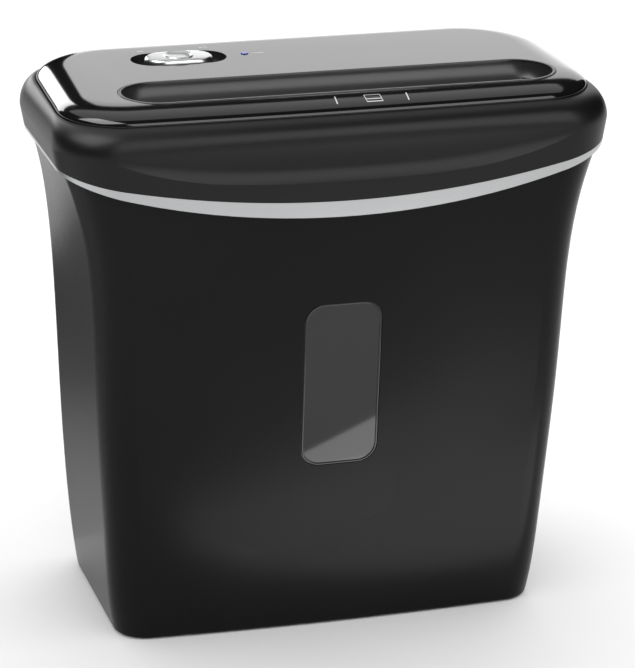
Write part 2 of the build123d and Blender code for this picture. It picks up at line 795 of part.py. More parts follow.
# Paper guide rails, one each side of the slot, and their light gate
def guide_rail(side):
    """Plate on the cutter frame with a wall down to the cutters, on one side of the slot."""
    guide_x = (drive_plate_outer + far_plate_outer) / 2
    guide_base = cutter_height + CUTTER_RADIUS + GUIDE_CLEARANCE
    with BuildPart() as rail:
        with BuildSketch(Plane.XY.offset(guide_plate_base)) as plate:
            with Locations((guide_x, THROAT_Y + side * (THROAT_WIDTH + GUIDE_REACH) / 2)):
                Rectangle(far_plate_outer - drive_plate_outer, GUIDE_REACH)
        extrude(amount=GUIDE_PLATE)
        with BuildSketch(Plane.XY.offset(guide_plate_base)) as wall:
            with Locations((THROAT_X, THROAT_Y + side * (THROAT_WIDTH + GUIDE_WALL) / 2)):
                Rectangle(THROAT_LENGTH + 2 * FRAME_GAP, GUIDE_WALL)
        extrude(amount=guide_base - guide_plate_base)
    return rail.part


with BuildPart() as front_paper_guide:
    add(guide_rail(-1))

with BuildPart() as rear_paper_guide:
    add(guide_rail(1))

with BuildPart() as paper_sensor:
    sensor_y = THROAT_WIDTH / 2 + GUIDE_WALL + SENSOR_SIZE / 2
    with BuildSketch(Plane.XY.offset(guide_plate_base)) as gate:
        with Locations((THROAT_X, THROAT_Y - sensor_y), (THROAT_X, THROAT_Y + sensor_y)):
            Rectangle(2 * SENSOR_SIZE, SENSOR_SIZE)
    extrude(amount=-SENSOR_SIZE)

# Cutter frame
rods_at = [
    (front_bar, cutter_height),
    (rear_bar, cutter_height),
    (front_bar, upper_rod_height),
    (rear_bar, upper_rod_height),
]


def plate_blank(x, back):
    """Side plate outline with its bush and rod holes."""
    with BuildSketch(Plane.YZ.offset(x)) as face:
        with BuildLine():
            Polyline(
                (plate_front, floor_top),
                (back, floor_top),
                (back, guide_plate_base),
                (plate_front, guide_plate_base),
                close=True,
            )
        make_face()
        fillet(face.vertices().group_by(Axis.Y)[-1], PLATE_CORNER)
        chamfer(face.vertices().group_by(Axis.Y)[0].sort_by(Axis.X)[0], PLATE_FOOT_CHAMFER)
        with Locations(front_axis, rear_axis):
            Circle(JOURNAL_RADIUS + BUSH_WALL, mode=Mode.SUBTRACT)
        with Locations(*rods_at):
            Circle(ROD_END_RADIUS, mode=Mode.SUBTRACT)
    return face.sketch


with BuildPart() as drive_side_plate:
    extrude(plate_blank(drive_plate_outer, DRIVE_PLATE_BACK), amount=PLATE_THICKNESS)
    extrude(
        round_face(drive_plate_outer, [motor_axis], MOTOR_OPENING_RADIUS),
        amount=PLATE_THICKNESS,
        mode=Mode.SUBTRACT,
    )
    extrude(
        round_face(drive_plate_outer, [first_axis, second_axis], PIN_RADIUS),
        amount=PLATE_THICKNESS,
        mode=Mode.SUBTRACT,
    )
    extrude(
        round_face(drive_plate_outer, cover_lugs + motor_screws_at, SMALL_SCREW_RADIUS),
        amount=PLATE_THICKNESS,
        mode=Mode.SUBTRACT,
    )

with BuildPart() as far_side_plate:
    extrude(plate_blank(far_plate_inner, FAR_PLATE_BACK), amount=PLATE_THICKNESS)

with BuildPart() as tie_rods:
    extrude(round_face(drive_plate_inner, rods_at, ROD_RADIUS), amount=far_plate_inner - drive_plate_inner)
    extrude(
        round_face(drive_plate_outer, rods_at, ROD_END_RADIUS),
        amount=far_plate_outer - drive_plate_outer,
    )
    extrude(round_face(far_plate_outer, rods_at, ROD_HEAD_RADIUS), amount=ROD_HEAD)
    extrude(round_face(drive_plate_outer, rods_at, ROD_HEAD_RADIUS), amount=-ROD_HEAD)

with BuildPart() as shaft_bushes:
    axes = [front_axis, rear_axis]
    for flange_face, outward in ((drive_plate_inner, -1), (far_plate_inner, 1)):
        extrude(
            round_face(flange_face, axes, JOURNAL_RADIUS + BUSH_WALL), amount=outward * PLATE_THICKNESS
        )
        extrude(round_face(flange_face, axes, BUSH_FLANGE_RADIUS), amount=-outward * BUSH_FLANGE)
    extrude(
        round_face(drive_plate_outer, axes, JOURNAL_RADIUS + RUNNING_GAP),
        amount=far_plate_outer - drive_plate_outer,
        mode=Mode.SUBTRACT,
    )


def comb_slots(start):
    """Middles of every other cutter slot, from a given one."""
    return [throat_left + (slot + 0.5) * cutter_pitch for slot in range(start, 2 * CUTTER_PAIRS + 1, 2)]


finger_width = cutter_pitch - 4 * CUTTER_SIDE_GAP
disc_width = cutter_pitch - 2 * CUTTER_SIDE_GAP
finger_length = CUTTER_RADIUS + COMB_GAP - HUB_RADIUS - COMB_GAP


def comb_face(x, bar, inward):
    """Cross-section of a comb finger, from its bar towards the shaft."""
    start = bar + inward * COMB_BAR / 2
    with BuildSketch(Plane.YZ.offset(x)) as face:
        with BuildLine():
            Polyline(
                (start, cutter_height - FINGER_HEIGHT / 2),
                (start + inward * finger_length, cutter_height - FINGER_HEIGHT / 4),
                (start + inward * finger_length, cutter_height + FINGER_HEIGHT / 4),
                (start, cutter_height + FINGER_HEIGHT / 2),
                close=True,
            )
        make_face()
    return face.sketch


def bar_face(bar):
    """Cross-section of a comb's bar, bored for its tie rod."""
    with BuildSketch(Plane.YZ.offset(drive_plate_inner)) as face:
        with Locations((bar, cutter_height)):
            Rectangle(COMB_BAR, COMB_HEIGHT)
            Circle(ROD_RADIUS + RUNNING_GAP, mode=Mode.SUBTRACT)
    return face.sketch


with BuildPart() as front_stripper_comb:
    extrude(bar_face(front_bar), amount=far_plate_inner - drive_plate_inner)
    for x in comb_slots(1):
        extrude(comb_face(x - finger_width / 2, front_bar, 1), amount=finger_width)

with BuildPart() as rear_stripper_comb:
    extrude(bar_face(rear_bar), amount=far_plate_inner - drive_plate_inner)
    for x in comb_slots(2)[:-1]:
        extrude(comb_face(x - finger_width / 2, rear_bar, -1), amount=finger_width)

# Cutters
hub_start = drive_plate_inner + BUSH_FLANGE + CUTTER_SIDE_GAP
hub_end = far_plate_inner - BUSH_FLANGE - CUTTER_SIDE_GAP
sync_phase = meshed_phase(0, SYNC_TEETH, pi, SYNC_TEETH)

with BuildPart() as rear_cutter:
    extrude(round_face(hub_start, [rear_axis], HUB_RADIUS), amount=hub_end - hub_start)
    for count, x in enumerate(comb_slots(1)):
        turn = count * 2 * pi / HOOKS / CUTTER_PAIRS
        extrude(disc_face(x - disc_width / 2, rear_axis, turn), amount=disc_width)
    extrude(round_face(drive_end, [rear_axis], JOURNAL_RADIUS), amount=sync_end - drive_end)
    extrude(gear_face(drive_end, rear_axis, FINAL_TEETH, FINAL_MODULE, 0), amount=FINAL_WIDTH)
    extrude(gear_face(sync_start, rear_axis, SYNC_TEETH, sync_module, 0), amount=FINAL_WIDTH)

with BuildPart() as front_cutter:
    extrude(round_face(hub_start, [front_axis], HUB_RADIUS), amount=hub_end - hub_start)
    for count, x in enumerate(comb_slots(0)):
        turn = -count * 2 * pi / HOOKS / CUTTER_PAIRS
        extrude(disc_face(x - disc_width / 2, front_axis, turn), amount=disc_width)
    extrude(round_face(drive_plate_outer, [front_axis], JOURNAL_RADIUS), amount=sync_end - drive_plate_outer)
    extrude(gear_face(sync_start, front_axis, SYNC_TEETH, sync_module, sync_phase), amount=FINAL_WIDTH)

# Reduction drive
second_phase = meshed_phase(0, FINAL_TEETH, SECOND_GEAR_DIRECTION, SECOND_PINION_TEETH)
first_phase = meshed_phase(second_phase, SECOND_TEETH, FIRST_GEAR_DIRECTION, FIRST_PINION_TEETH)
motor_phase = meshed_phase(first_phase, FIRST_TEETH, MOTOR_DIRECTION, MOTOR_TEETH)

with BuildPart() as second_gear:
    hub_radius = PIN_RADIUS + GEAR_HUB
    extrude(round_face(drive_end, [second_axis], hub_radius), amount=first_layer - drive_end)
    extrude(
        gear_face(second_layer - GEAR_WIDTH, second_axis, SECOND_TEETH, SECOND_MODULE, second_phase),
        amount=GEAR_WIDTH,
    )
    extrude(
        gear_face(drive_end, second_axis, SECOND_PINION_TEETH, FINAL_MODULE, second_phase),
        amount=FINAL_WIDTH,
    )
    extrude(
        round_face(drive_end, [second_axis], PIN_RADIUS + RUNNING_GAP),
        amount=first_layer - drive_end,
        mode=Mode.SUBTRACT,
    )

with BuildPart() as first_gear:
    first_end = second_layer - GEAR_WIDTH
    extrude(
        gear_face(first_layer - GEAR_WIDTH, first_axis, FIRST_TEETH, FIRST_MODULE, first_phase),
        amount=GEAR_WIDTH,
    )
    extrude(
        gear_face(first_end, first_axis, FIRST_PINION_TEETH, SECOND_MODULE, first_phase),
        amount=first_layer - first_end,
    )
    extrude(
        round_face(first_end, [first_axis], PIN_RADIUS + RUNNING_GAP),
        amount=first_layer - first_end,
        mode=Mode.SUBTRACT,
    )

with BuildPart() as gear_pins:
    pins_at = [first_axis, second_axis]
    extrude(round_face(cover_inner, pins_at, PIN_RADIUS), amount=drive_plate_inner - cover_inner)
    extrude(round_face(first_layer, pins_at, PIN_COLLAR_RADIUS), amount=PIN_COLLAR)

with BuildPart() as gearbox_cover:
    extrude(cover_face(cover_outer, 0), amount=drive_plate_outer - cover_outer)
    extrude(cover_face(cover_inner, COVER_WALL), amount=drive_plate_outer - cover_inner, mode=Mode.SUBTRACT)
    extrude(round_face(cover_inner, cover_lugs, LUG_RADIUS), amount=drive_plate_outer - cover_inner)
    extrude(
        round_face(cover_outer, cover_lugs, SMALL_SCREW_RADIUS),
        amount=drive_plate_outer - cover_outer,
        mode=Mode.SUBTRACT,
    )

# Motor
with BuildPart() as motor_can:
    extrude(round_face(drive_plate_inner, [motor_axis], MOTOR_RADIUS), amount=MOTOR_LENGTH)
    extrude(
        round_face(drive_plate_inner + MOTOR_FACE, [motor_axis], MOTOR_RADIUS - MOTOR_WALL),
        amount=MOTOR_LENGTH,
        mode=Mode.SUBTRACT,
    )
    extrude(
        round_face(drive_plate_inner, [motor_axis], MOTOR_SHAFT_RADIUS + RUNNING_GAP),
        amount=MOTOR_FACE,
        mode=Mode.SUBTRACT,
    )
    extrude(
        round_face(drive_plate_inner, motor_screws_at, SMALL_SCREW_RADIUS),
        amount=MOTOR_FACE,
        mode=Mode.SUBTRACT,
    )

with BuildPart() as motor_end_cap:
    extrude(round_face(motor_end, [motor_axis], MOTOR_RADIUS), amount=MOTOR_CAP)
    fillet(motor_end_cap.edges().group_by(Axis.X)[-1], MOTOR_WALL)
    extrude(
        round_face(motor_end, [motor_axis], MOTOR_SHAFT_RADIUS + RUNNING_GAP),
        amount=MOTOR_CAP - MOTOR_WALL,
        mode=Mode.SUBTRACT,
    )

with BuildPart() as motor_rotor:
    rotor_start = first_layer - GEAR_WIDTH
    rotor_end = motor_end + MOTOR_CAP - MOTOR_WALL - MOTOR_PART_GAP
    armature_start = drive_plate_inner + MOTOR_FACE + MOTOR_PART_GAP
    commutator_start = armature_start + ARMATURE_LENGTH + MOTOR_PART_GAP
    extrude(round_face(rotor_start, [motor_axis], MOTOR_SHAFT_RADIUS), amount=rotor_end - rotor_start)
    extrude(round_face(armature_start, [motor_axis], ARMATURE_RADIUS), amount=ARMATURE_LENGTH)
    extrude(round_face(commutator_start, [motor_axis], COMMUTATOR_RADIUS), amount=COMMUTATOR_LENGTH)
    extrude(gear_face(rotor_start, motor_axis, MOTOR_TEETH, FIRST_MODULE, motor_phase), amount=GEAR_WIDTH)

# Lower housing
with BuildPart() as tub_hollow:
    loft(bin_sections(BIN_WALL + TUB_GAP + TUB_WALL))
    split(bisect_by=Plane.XY.offset(floor_top), keep=Keep.TOP)

with BuildPart() as lower_housing:
    loft(bin_sections(BIN_WALL + TUB_GAP))
    split(bisect_by=Plane.XY.offset(SEAT_HEIGHT), keep=Keep.TOP)
    add(tub_hollow.part, mode=Mode.SUBTRACT)
    extrude(above_smile(rim_middle + TUB_LAP, RIM_RISE), amount=REACH, both=True, mode=Mode.SUBTRACT)
    extrude(dot_face(SEAT_HEIGHT, POSTS, POST_RADIUS), amount=post_top - SEAT_HEIGHT)
    extrude(dot_face(SEAT_HEIGHT, board_screws_at, STANDOFF_RADIUS), amount=board_base - SEAT_HEIGHT)
    with BuildSketch(Plane.XY.offset(floor_top)) as pads:
        for plate_x, back in ((drive_plate_outer, DRIVE_PLATE_BACK), (far_plate_inner, FAR_PLATE_BACK)):
            with Locations((plate_x + PLATE_THICKNESS / 2, (plate_front + back) / 2)):
                Rectangle(PAD_WIDTH, back - plate_front - 2 * PLATE_CORNER)
                Rectangle(PLATE_THICKNESS, back - plate_front, mode=Mode.SUBTRACT)
    extrude(amount=PAD_HEIGHT)
    with BuildSketch(Plane.XY.offset(SEAT_HEIGHT)) as outlet:
        with Locations((THROAT_X, (OUTLET_FRONT + OUTLET_BACK) / 2)):
            Rectangle(THROAT_LENGTH - 2 * OUTLET_MARGIN, OUTLET_BACK - OUTLET_FRONT)
    extrude(amount=TUB_FLOOR, mode=Mode.SUBTRACT)
    extrude(
        dot_face(SEAT_HEIGHT, POSTS, SCREW_HEAD_RADIUS + SCREW_GAP),
        amount=screw_seat - SEAT_HEIGHT,
        mode=Mode.SUBTRACT,
    )
    extrude(
        dot_face(screw_seat, POSTS, SCREW_RADIUS + SCREW_GAP),
        amount=post_top - screw_seat,
        mode=Mode.SUBTRACT,
    )
    extrude(
        dot_face(board_base, board_screws_at, SMALL_SCREW_RADIUS),
        amount=-BOARD_SCREW_LENGTH,
        mode=Mode.SUBTRACT,
    )
    extrude(
        dot_face(SEAT_HEIGHT, [(INTERLOCK_X, interlock_y)], PLUNGER_RADIUS + PLUNGER_GAP),
        amount=TUB_FLOOR,
        mode=Mode.SUBTRACT,
    )

# Control board and interlock
with BuildPart() as control_board:
    board_top = board_base + BOARD_THICKNESS
    with BuildSketch(Plane.XY.offset(board_base)) as board:
        with Locations((BOARD_X, BOARD_Y)):
            Rectangle(BOARD_LENGTH, BOARD_WIDTH)
        with Locations(*board_screws_at):
            Circle(SMALL_SCREW_RADIUS, mode=Mode.SUBTRACT)
    extrude(amount=BOARD_THICKNESS)
    with BuildSketch(Plane.XY.offset(board_top)) as relay:
        with Locations((BOARD_X + RELAY_X, BOARD_Y)):
            Rectangle(RELAY_SIZE[0], RELAY_SIZE[1])
    extrude(amount=RELAY_SIZE[2])
    extrude(
        dot_face(board_top, [(BOARD_X + CAPACITOR_X, BOARD_Y)], CAPACITOR_RADIUS),
        amount=CAPACITOR_HEIGHT,
    )
    with BuildSketch(Plane.XY.offset(board_top)) as connectors:
        with Locations((BOARD_X + CONNECTOR_X, BOARD_Y)):
            with GridLocations(1, 2 * CONNECTOR_SIZE[1], 1, 2):
                Rectangle(CONNECTOR_SIZE[0], CONNECTOR_SIZE[1])
    extrude(amount=CONNECTOR_SIZE[2])

with BuildPart() as interlock_plunger:
    extrude(
        dot_face(SEAT_HEIGHT, [(INTERLOCK_X, interlock_y)], PLUNGER_RADIUS),
        amount=PLUNGER_LENGTH,
    )
    collar_base = floor_top + PLUNGER_TRAVEL + PLUNGER_GAP
    extrude(
        dot_face(collar_base, [(INTERLOCK_X, interlock_y)], PLUNGER_RADIUS + PLUNGER_COLLAR),
        amount=TUB_FLOOR,
    )

with BuildPart() as interlock_switch:
    with BuildSketch(Plane.XY.offset(floor_top)) as switch_block:
        with Locations((INTERLOCK_X - INTERLOCK_OFFSET, interlock_y)):
            Rectangle(INTERLOCK_BODY[0], INTERLOCK_BODY[1])
    extrude(amount=SEAT_HEIGHT + PLUNGER_LENGTH - floor_top)
    with BuildSketch(Plane.XY.offset(SEAT_HEIGHT + PLUNGER_LENGTH)) as lever:
        with Locations((INTERLOCK_X - INTERLOCK_OFFSET / 2, interlock_y)):
            Rectangle(INTERLOCK_OFFSET + INTERLOCK_BODY[0] / 2, 2 * PLUNGER_RADIUS)
    extrude(amount=LEVER_THICKNESS)

# Cord entry, slid up into a notch in the rear wall, and its gland
with BuildPart() as cord_entry:
    add(head_outer.part)
    add(head_hollow.part, mode=Mode.SUBTRACT)
    add(entry_block.part, mode=Mode.INTERSECT)
    with BuildSketch(Plane.XZ.offset(-GLAND_INNER_END)) as gland_boss:
        with Locations((GLAND_X, gland_z)):
            Circle(GLAND_BOSS_RADIUS)
    extrude(amount=GLAND_INNER_END - GLAND_SEAT)
    with BuildSketch(Plane.XZ.offset(-GLAND_INNER_END)) as gland_hole:
        with Locations((GLAND_X, gland_z)):
            Circle(GLAND_RADIUS)
    extrude(amount=-REACH, mode=Mode.SUBTRACT)
    with BuildSketch(Plane.XZ.offset(-GLAND_SEAT)) as gland_pocket:
        with Locations((GLAND_X, gland_z)):
            Circle(GLAND_FLANGE_RADIUS + PANEL_GAP)
    extrude(amount=-REACH, mode=Mode.SUBTRACT)

with BuildPart() as cord_gland:
    with BuildSketch(Plane.XZ.offset(-GLAND_SEAT)) as gland_flange:
        with Locations((GLAND_X, gland_z)):
            Circle(GLAND_FLANGE_RADIUS)
    extrude(amount=-GLAND_FLANGE)
    with BuildSketch(Plane.XZ.offset(-GLAND_INNER_END)) as gland_body:
        with Locations((GLAND_X, gland_z)):
            Circle(GLAND_RADIUS)
    extrude(amount=GLAND_INNER_END - GLAND_SEAT)
    with BuildSketch(Plane.XZ.offset(-GLAND_INNER_END)) as gland_bore:
        with Locations((GLAND_X, gland_z)):
            Circle(GLAND_BORE)
    extrude(amount=-REACH, mode=Mode.SUBTRACT)

# Screws
with BuildPart() as housing_screws:
    extrude(dot_face(screw_seat, POSTS, SCREW_HEAD_RADIUS), amount=-SCREW_HEAD)
    extrude(dot_face(screw_seat, POSTS, SCREW_RADIUS), amount=SCREW_LENGTH)

with BuildPart() as gearbox_screws:
    extrude(round_face(cover_outer, cover_lugs, SMALL_HEAD_RADIUS), amount=-SMALL_HEAD)
    extrude(round_face(cover_outer, cover_lugs, SMALL_SCREW_RADIUS), amount=drive_plate_inner - cover_outer)

with BuildPart() as motor_screws:
    extrude(round_face(drive_plate_outer, motor_screws_at, SMALL_HEAD_RADIUS), amount=-SMALL_HEAD)
    extrude(
        round_face(drive_plate_outer, motor_screws_at, SMALL_SCREW_RADIUS),
        amount=PLATE_THICKNESS + MOTOR_SCREW_LENGTH,
    )

with BuildPart() as board_screws:
    extrude(dot_face(board_top, board_screws_at, SMALL_HEAD_RADIUS), amount=SMALL_HEAD)
    extrude(
        dot_face(board_top, board_screws_at, SMALL_SCREW_RADIUS),
        amount=-BOARD_THICKNESS - BOARD_SCREW_LENGTH + SCREW_TIP_GAP,
    )

pieces = {
    "bin_shell": bin_shell,
    "bin_window": bin_window,
    "upper_housing": upper_housing,
    "trim_band": trim_band,
    "top_panel": top_panel,
    "led_lens": led_lens,
    "switch_slider": switch_slider,
    "slide_switch": slide_switch,
    "front_paper_guide": front_paper_guide,
    "rear_paper_guide": rear_paper_guide,
    "paper_sensor": paper_sensor,
    "drive_side_plate": drive_side_plate,
    "far_side_plate": far_side_plate,
    "tie_rods": tie_rods,
    "shaft_bushes": shaft_bushes,
    "front_stripper_comb": front_stripper_comb,
    "rear_stripper_comb": rear_stripper_comb,
    "rear_cutter": rear_cutter,
    "front_cutter": front_cutter,
    "second_gear": second_gear,
    "first_gear": first_gear,
    "gear_pins": gear_pins,
    "gearbox_cover": gearbox_cover,
    "motor_can": motor_can,
    "motor_end_cap": motor_end_cap,
    "motor_rotor": motor_rotor,
    "lower_housing": lower_housing,
    "control_board": control_board,
    "interlock_plunger": interlock_plunger,
    "interlock_switch": interlock_switch,
    "cord_entry": cord_entry,
    "cord_gland": cord_gland,
    "housing_screws": housing_screws,
    "gearbox_screws": gearbox_screws,
    "motor_screws": motor_screws,
    "board_screws": board_screws,
}

os.makedirs("parts", exist_ok=True)
for name, piece in pieces.items():
    piece.part.label = name
    export_step(piece.part, f"parts/{name}.step")
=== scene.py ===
from math import cos, pi, radians, sin, tan

import bmesh
import bpy
from mathutils import Matrix, Vector
from mathutils.bvhtree import BVHTree


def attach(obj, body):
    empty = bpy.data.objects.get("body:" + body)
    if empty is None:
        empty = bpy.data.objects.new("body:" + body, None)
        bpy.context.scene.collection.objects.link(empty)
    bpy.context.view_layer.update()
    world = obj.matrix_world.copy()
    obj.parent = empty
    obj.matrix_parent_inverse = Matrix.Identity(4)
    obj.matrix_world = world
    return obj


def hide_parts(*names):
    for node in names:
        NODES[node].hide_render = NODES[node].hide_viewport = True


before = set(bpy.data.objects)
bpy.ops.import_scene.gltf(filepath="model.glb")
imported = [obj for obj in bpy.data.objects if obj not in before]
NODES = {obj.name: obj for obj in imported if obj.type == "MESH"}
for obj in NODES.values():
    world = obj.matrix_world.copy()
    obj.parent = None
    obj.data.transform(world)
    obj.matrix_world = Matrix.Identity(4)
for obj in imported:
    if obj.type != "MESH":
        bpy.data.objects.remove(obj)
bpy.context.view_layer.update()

SCENE = bpy.context.scene
MM = 0.001


def add_object(name, data):
    """New object, linked into the scene."""
    thing = bpy.data.objects.new(name, data)
    SCENE.collection.objects.link(thing)
    return thing


# Camera, solved from the photograph: metres in the part's frame, lens and sensor in mm
AZIMUTH = radians(-16.67)
ELEVATION = radians(19.99)
ROLL = radians(0.98)
TARGET = Vector((0.00737, 0.001, 0.14594))
DISTANCE = 1.9065
CLIP_START = 0.05
CLIP_END = 50.0
LENS = 185.66
SENSOR = 36.0


def add_camera():
    """Camera that looks at the target, turned by the roll."""
    back = Vector((sin(AZIMUTH) * cos(ELEVATION), -cos(AZIMUTH) * cos(ELEVATION), sin(ELEVATION)))
    level = Vector((cos(AZIMUTH), sin(AZIMUTH), 0))
    rise = back.cross(level)
    right = cos(ROLL) * level + sin(ROLL) * rise
    up = cos(ROLL) * rise - sin(ROLL) * level
    data = bpy.data.cameras.new("camera")
    data.sensor_width = SENSOR
    data.lens = LENS
    data.clip_start = CLIP_START
    data.clip_end = CLIP_END
    camera = add_object("camera", data)
    turn = Matrix((right, up, back)).transposed()
    camera.matrix_world = Matrix.Translation(TARGET + DISTANCE * back) @ turn.to_4x4()
    SCENE.camera = camera


add_camera()

# Materials: each drifts slowly between two colours and two roughnesses, and most have a fine grain
DRIFT_SCALE = 6.0
DRIFT_DETAIL = 3
DRIFT_DARK_END = 0.35
DRIFT_LIGHT_END = 0.65
GRAIN_DETAIL = 2
GRAIN_DISTANCE = 0.0002
PLAIN_SPECULAR = 0.5
SATIN_DARK = (0.0045, 0.0045, 0.005)
SATIN_LIGHT = (0.006, 0.006, 0.0065)
SATIN_GRAIN = (2600, 0.05)


def new_material(name):
    """Node material, with its tree and its shader."""
    material = bpy.data.materials.new(name)
    material.use_nodes = True
    tree = material.node_tree
    return material, tree, tree.nodes["Principled BSDF"]


def add_grain(tree, shader, place, scale, strength):
    """Fine bump over a surface."""
    grain = tree.nodes.new("ShaderNodeTexNoise")
    grain.inputs["Scale"].default_value = scale
    grain.inputs["Detail"].default_value = GRAIN_DETAIL
    bump = tree.nodes.new("ShaderNodeBump")
    bump.inputs["Strength"].default_value = strength
    bump.inputs["Distance"].default_value = GRAIN_DISTANCE
    tree.links.new(place.outputs["Object"], grain.inputs["Vector"])
    tree.links.new(grain.outputs["Fac"], bump.inputs["Height"])
    tree.links.new(bump.outputs["Normal"], shader.inputs["Normal"])


def moulded(name, dark, light, rough, grain=None, metallic=0.0, specular=PLAIN_SPECULAR):
    """Surface with a slow drift of colour and roughness; grain is a scale and a strength."""
    material, tree, shader = new_material(name)
    place = tree.nodes.new("ShaderNodeTexCoord")
    drift = tree.nodes.new("ShaderNodeTexNoise")
    drift.inputs["Scale"].default_value = DRIFT_SCALE
    drift.inputs["Detail"].default_value = DRIFT_DETAIL
    colours = tree.nodes.new("ShaderNodeValToRGB")
    dark_end, light_end = colours.color_ramp.elements
    dark_end.position = DRIFT_DARK_END
    dark_end.color = (*dark, 1)
    light_end.position = DRIFT_LIGHT_END
    light_end.color = (*light, 1)
    shine = tree.nodes.new("ShaderNodeMapRange")
    shine.inputs["To Min"].default_value = rough[0]
    shine.inputs["To Max"].default_value = rough[1]
    tree.links.new(place.outputs["Object"], drift.inputs["Vector"])
    tree.links.new(drift.outputs["Fac"], colours.inputs["Fac"])
    tree.links.new(colours.outputs["Color"], shader.inputs["Base Color"])
    tree.links.new(drift.outputs["Fac"], shine.inputs["Value"])
    tree.links.new(shine.outputs["Result"], shader.inputs["Roughness"])
    if grain:
        add_grain(tree, shader, place, *grain)
    shader.inputs["Metallic"].default_value = metallic
    shader.inputs["Specular IOR Level"].default_value = specular
    return material


def dress(material, *names):
    """Give CAD nodes a material."""
    for name in names:
        slots = NODES[name].material_slots
        if slots:
            for slot in slots:
                slot.material = material
        else:
            NODES[name].data.materials.append(material)


body = moulded(
    "satin_black", dark=SATIN_DARK, light=SATIN_LIGHT,
    rough=(0.24, 0.30), grain=SATIN_GRAIN, specular=0.105,
)
casing_black = moulded(
    "casing_black", dark=SATIN_DARK, light=SATIN_LIGHT,
    rough=(0.36, 0.42), grain=SATIN_GRAIN, specular=0.24,
)
gloss = moulded(
    "gloss_black", dark=(0.005, 0.005, 0.0055), light=(0.0065, 0.0065, 0.007),
    rough=(0.08, 0.11),
)
silver = moulded(
    "satin_silver", dark=(0.44, 0.445, 0.45), light=(0.49, 0.495, 0.50),
    rough=(0.28, 0.36), grain=(1500, 0.04), metallic=1.0,
)
chrome = moulded(
    "chrome", dark=(0.52, 0.525, 0.53), light=(0.58, 0.585, 0.59),
    rough=(0.27, 0.33), metallic=1.0,
)
inner_black = moulded(
    "inner_black", dark=(0.022, 0.022, 0.024), light=(0.03, 0.03, 0.032),
    rough=(0.45, 0.55), grain=(1800, 0.1),
)
steel = moulded(
    "ground_steel", dark=(0.42, 0.42, 0.43), light=(0.5, 0.5, 0.51),
    rough=(0.22, 0.34), grain=(1200, 0.1), metallic=1.0,
)
zinc = moulded(
    "zinc_plate", dark=(0.52, 0.53, 0.54), light=(0.62, 0.63, 0.64),
    rough=(0.3, 0.45), grain=(700, 0.1), metallic=1.0,
)
bronze = moulded(
    "bronze", dark=(0.5, 0.33, 0.14), light=(0.6, 0.42, 0.2),
    rough=(0.35, 0.5), grain=(2200, 0.2), metallic=1.0,
)
nylon = moulded(
    "natural_nylon", dark=(0.78, 0.76, 0.7), light=(0.84, 0.82, 0.77),
    rough=(0.35, 0.45), grain=(1500, 0.05),
)
motor_grey = moulded(
    "motor_grey", dark=(0.2, 0.205, 0.22), light=(0.26, 0.265, 0.28),
    rough=(0.35, 0.45), grain=(1200, 0.1), metallic=0.6,
)
board_green = moulded(
    "board_green", dark=(0.03, 0.16, 0.06), light=(0.05, 0.22, 0.09),
    rough=(0.3, 0.4), grain=(900, 0.1),
)
rubber = moulded(
    "black_rubber", dark=(0.012, 0.012, 0.012), light=(0.018, 0.018, 0.018),
    rough=(0.6, 0.75), grain=(1500, 0.15),
)
satin_trough = moulded(
    "satin_trough", dark=(0.022, 0.022, 0.023), light=(0.026, 0.026, 0.027),
    rough=(0.30, 0.36), grain=SATIN_GRAIN,
)
recess = moulded(
    "recess_black", dark=(0.004, 0.004, 0.004), light=(0.006, 0.006, 0.006),
    rough=(0.5, 0.6), grain=(1500, 0.05),
)
print_white = moulded(
    "print_white", dark=(0.60, 0.60, 0.60), light=(0.70, 0.70, 0.70),
    rough=(0.45, 0.55),
)
smoked = moulded(
    "smoked_window", dark=(0.006, 0.006, 0.0065), light=(0.009, 0.009, 0.0095),
    rough=(0.04, 0.06),
)
led_blue = moulded(
    "led_blue", dark=(0.008, 0.035, 0.26), light=(0.014, 0.06, 0.40),
    rough=(0.15, 0.2),
)

dress(body, "bin_shell")
dress(casing_black, "cord_entry")
dress(silver, "trim_band")
dress(smoked, "bin_window")
dress(led_blue, "led_lens")
dress(
    inner_black, "slide_switch", "front_paper_guide", "rear_paper_guide", "paper_sensor",
    "front_stripper_comb", "rear_stripper_comb", "gearbox_cover", "motor_end_cap",
    "lower_housing", "interlock_switch",
)
dress(steel, "rear_cutter", "front_cutter")
dress(
    zinc, "drive_side_plate", "far_side_plate", "tie_rods", "gear_pins",
    "housing_screws", "gearbox_screws", "motor_screws", "board_screws",
)
dress(bronze, "shaft_bushes")
dress(nylon, "second_gear", "first_gear", "interlock_plunger")
dress(motor_grey, "motor_can", "motor_rotor")
dress(board_green, "control_board")
dress(rubber, "cord_gland")

# Outlines and lofts: counts of points along each stretch, and the angle of a crisp crease in degrees
CORNER_STEPS = 18
SIDE_STEPS = 16
FRONT_HALF_STEPS = 36
BACK_STEPS = 24
STADIUM_STEPS = 24
PLAIN_CREASE = 32


def between(first, last, share):
    """Value a share of the way from one value to another."""
    return first + (last - first) * share


def metres(x, y, z):
    """Point in metres, from mm."""
    return (x * MM, y * MM, z * MM)


def at_height(loop, height):
    """Plan loop in mm, lifted to one height and given in metres."""
    return [metres(x, y, height) for x, y in loop]


def arc(centre, radius, start, end, count):
    """Points along an arc, both ends included."""
    turns = [between(start, end, i / count) for i in range(count + 1)]
    return [(centre[0] + radius * cos(turn), centre[1] + radius * sin(turn)) for turn in turns]


def spread(first, last, count):
    """Points strictly between two points."""
    shares = [i / count for i in range(1, count)]
    return [(between(first[0], last[0], share), between(first[1], last[1], share)) for share in shares]


def quarter(steps):
    """Run and rise of the points along a quarter circle, from 0 to 1."""
    turns = [pi / 2 * step / steps for step in range(steps + 1)]
    return [(1 - cos(turn), sin(turn)) for turn in turns]


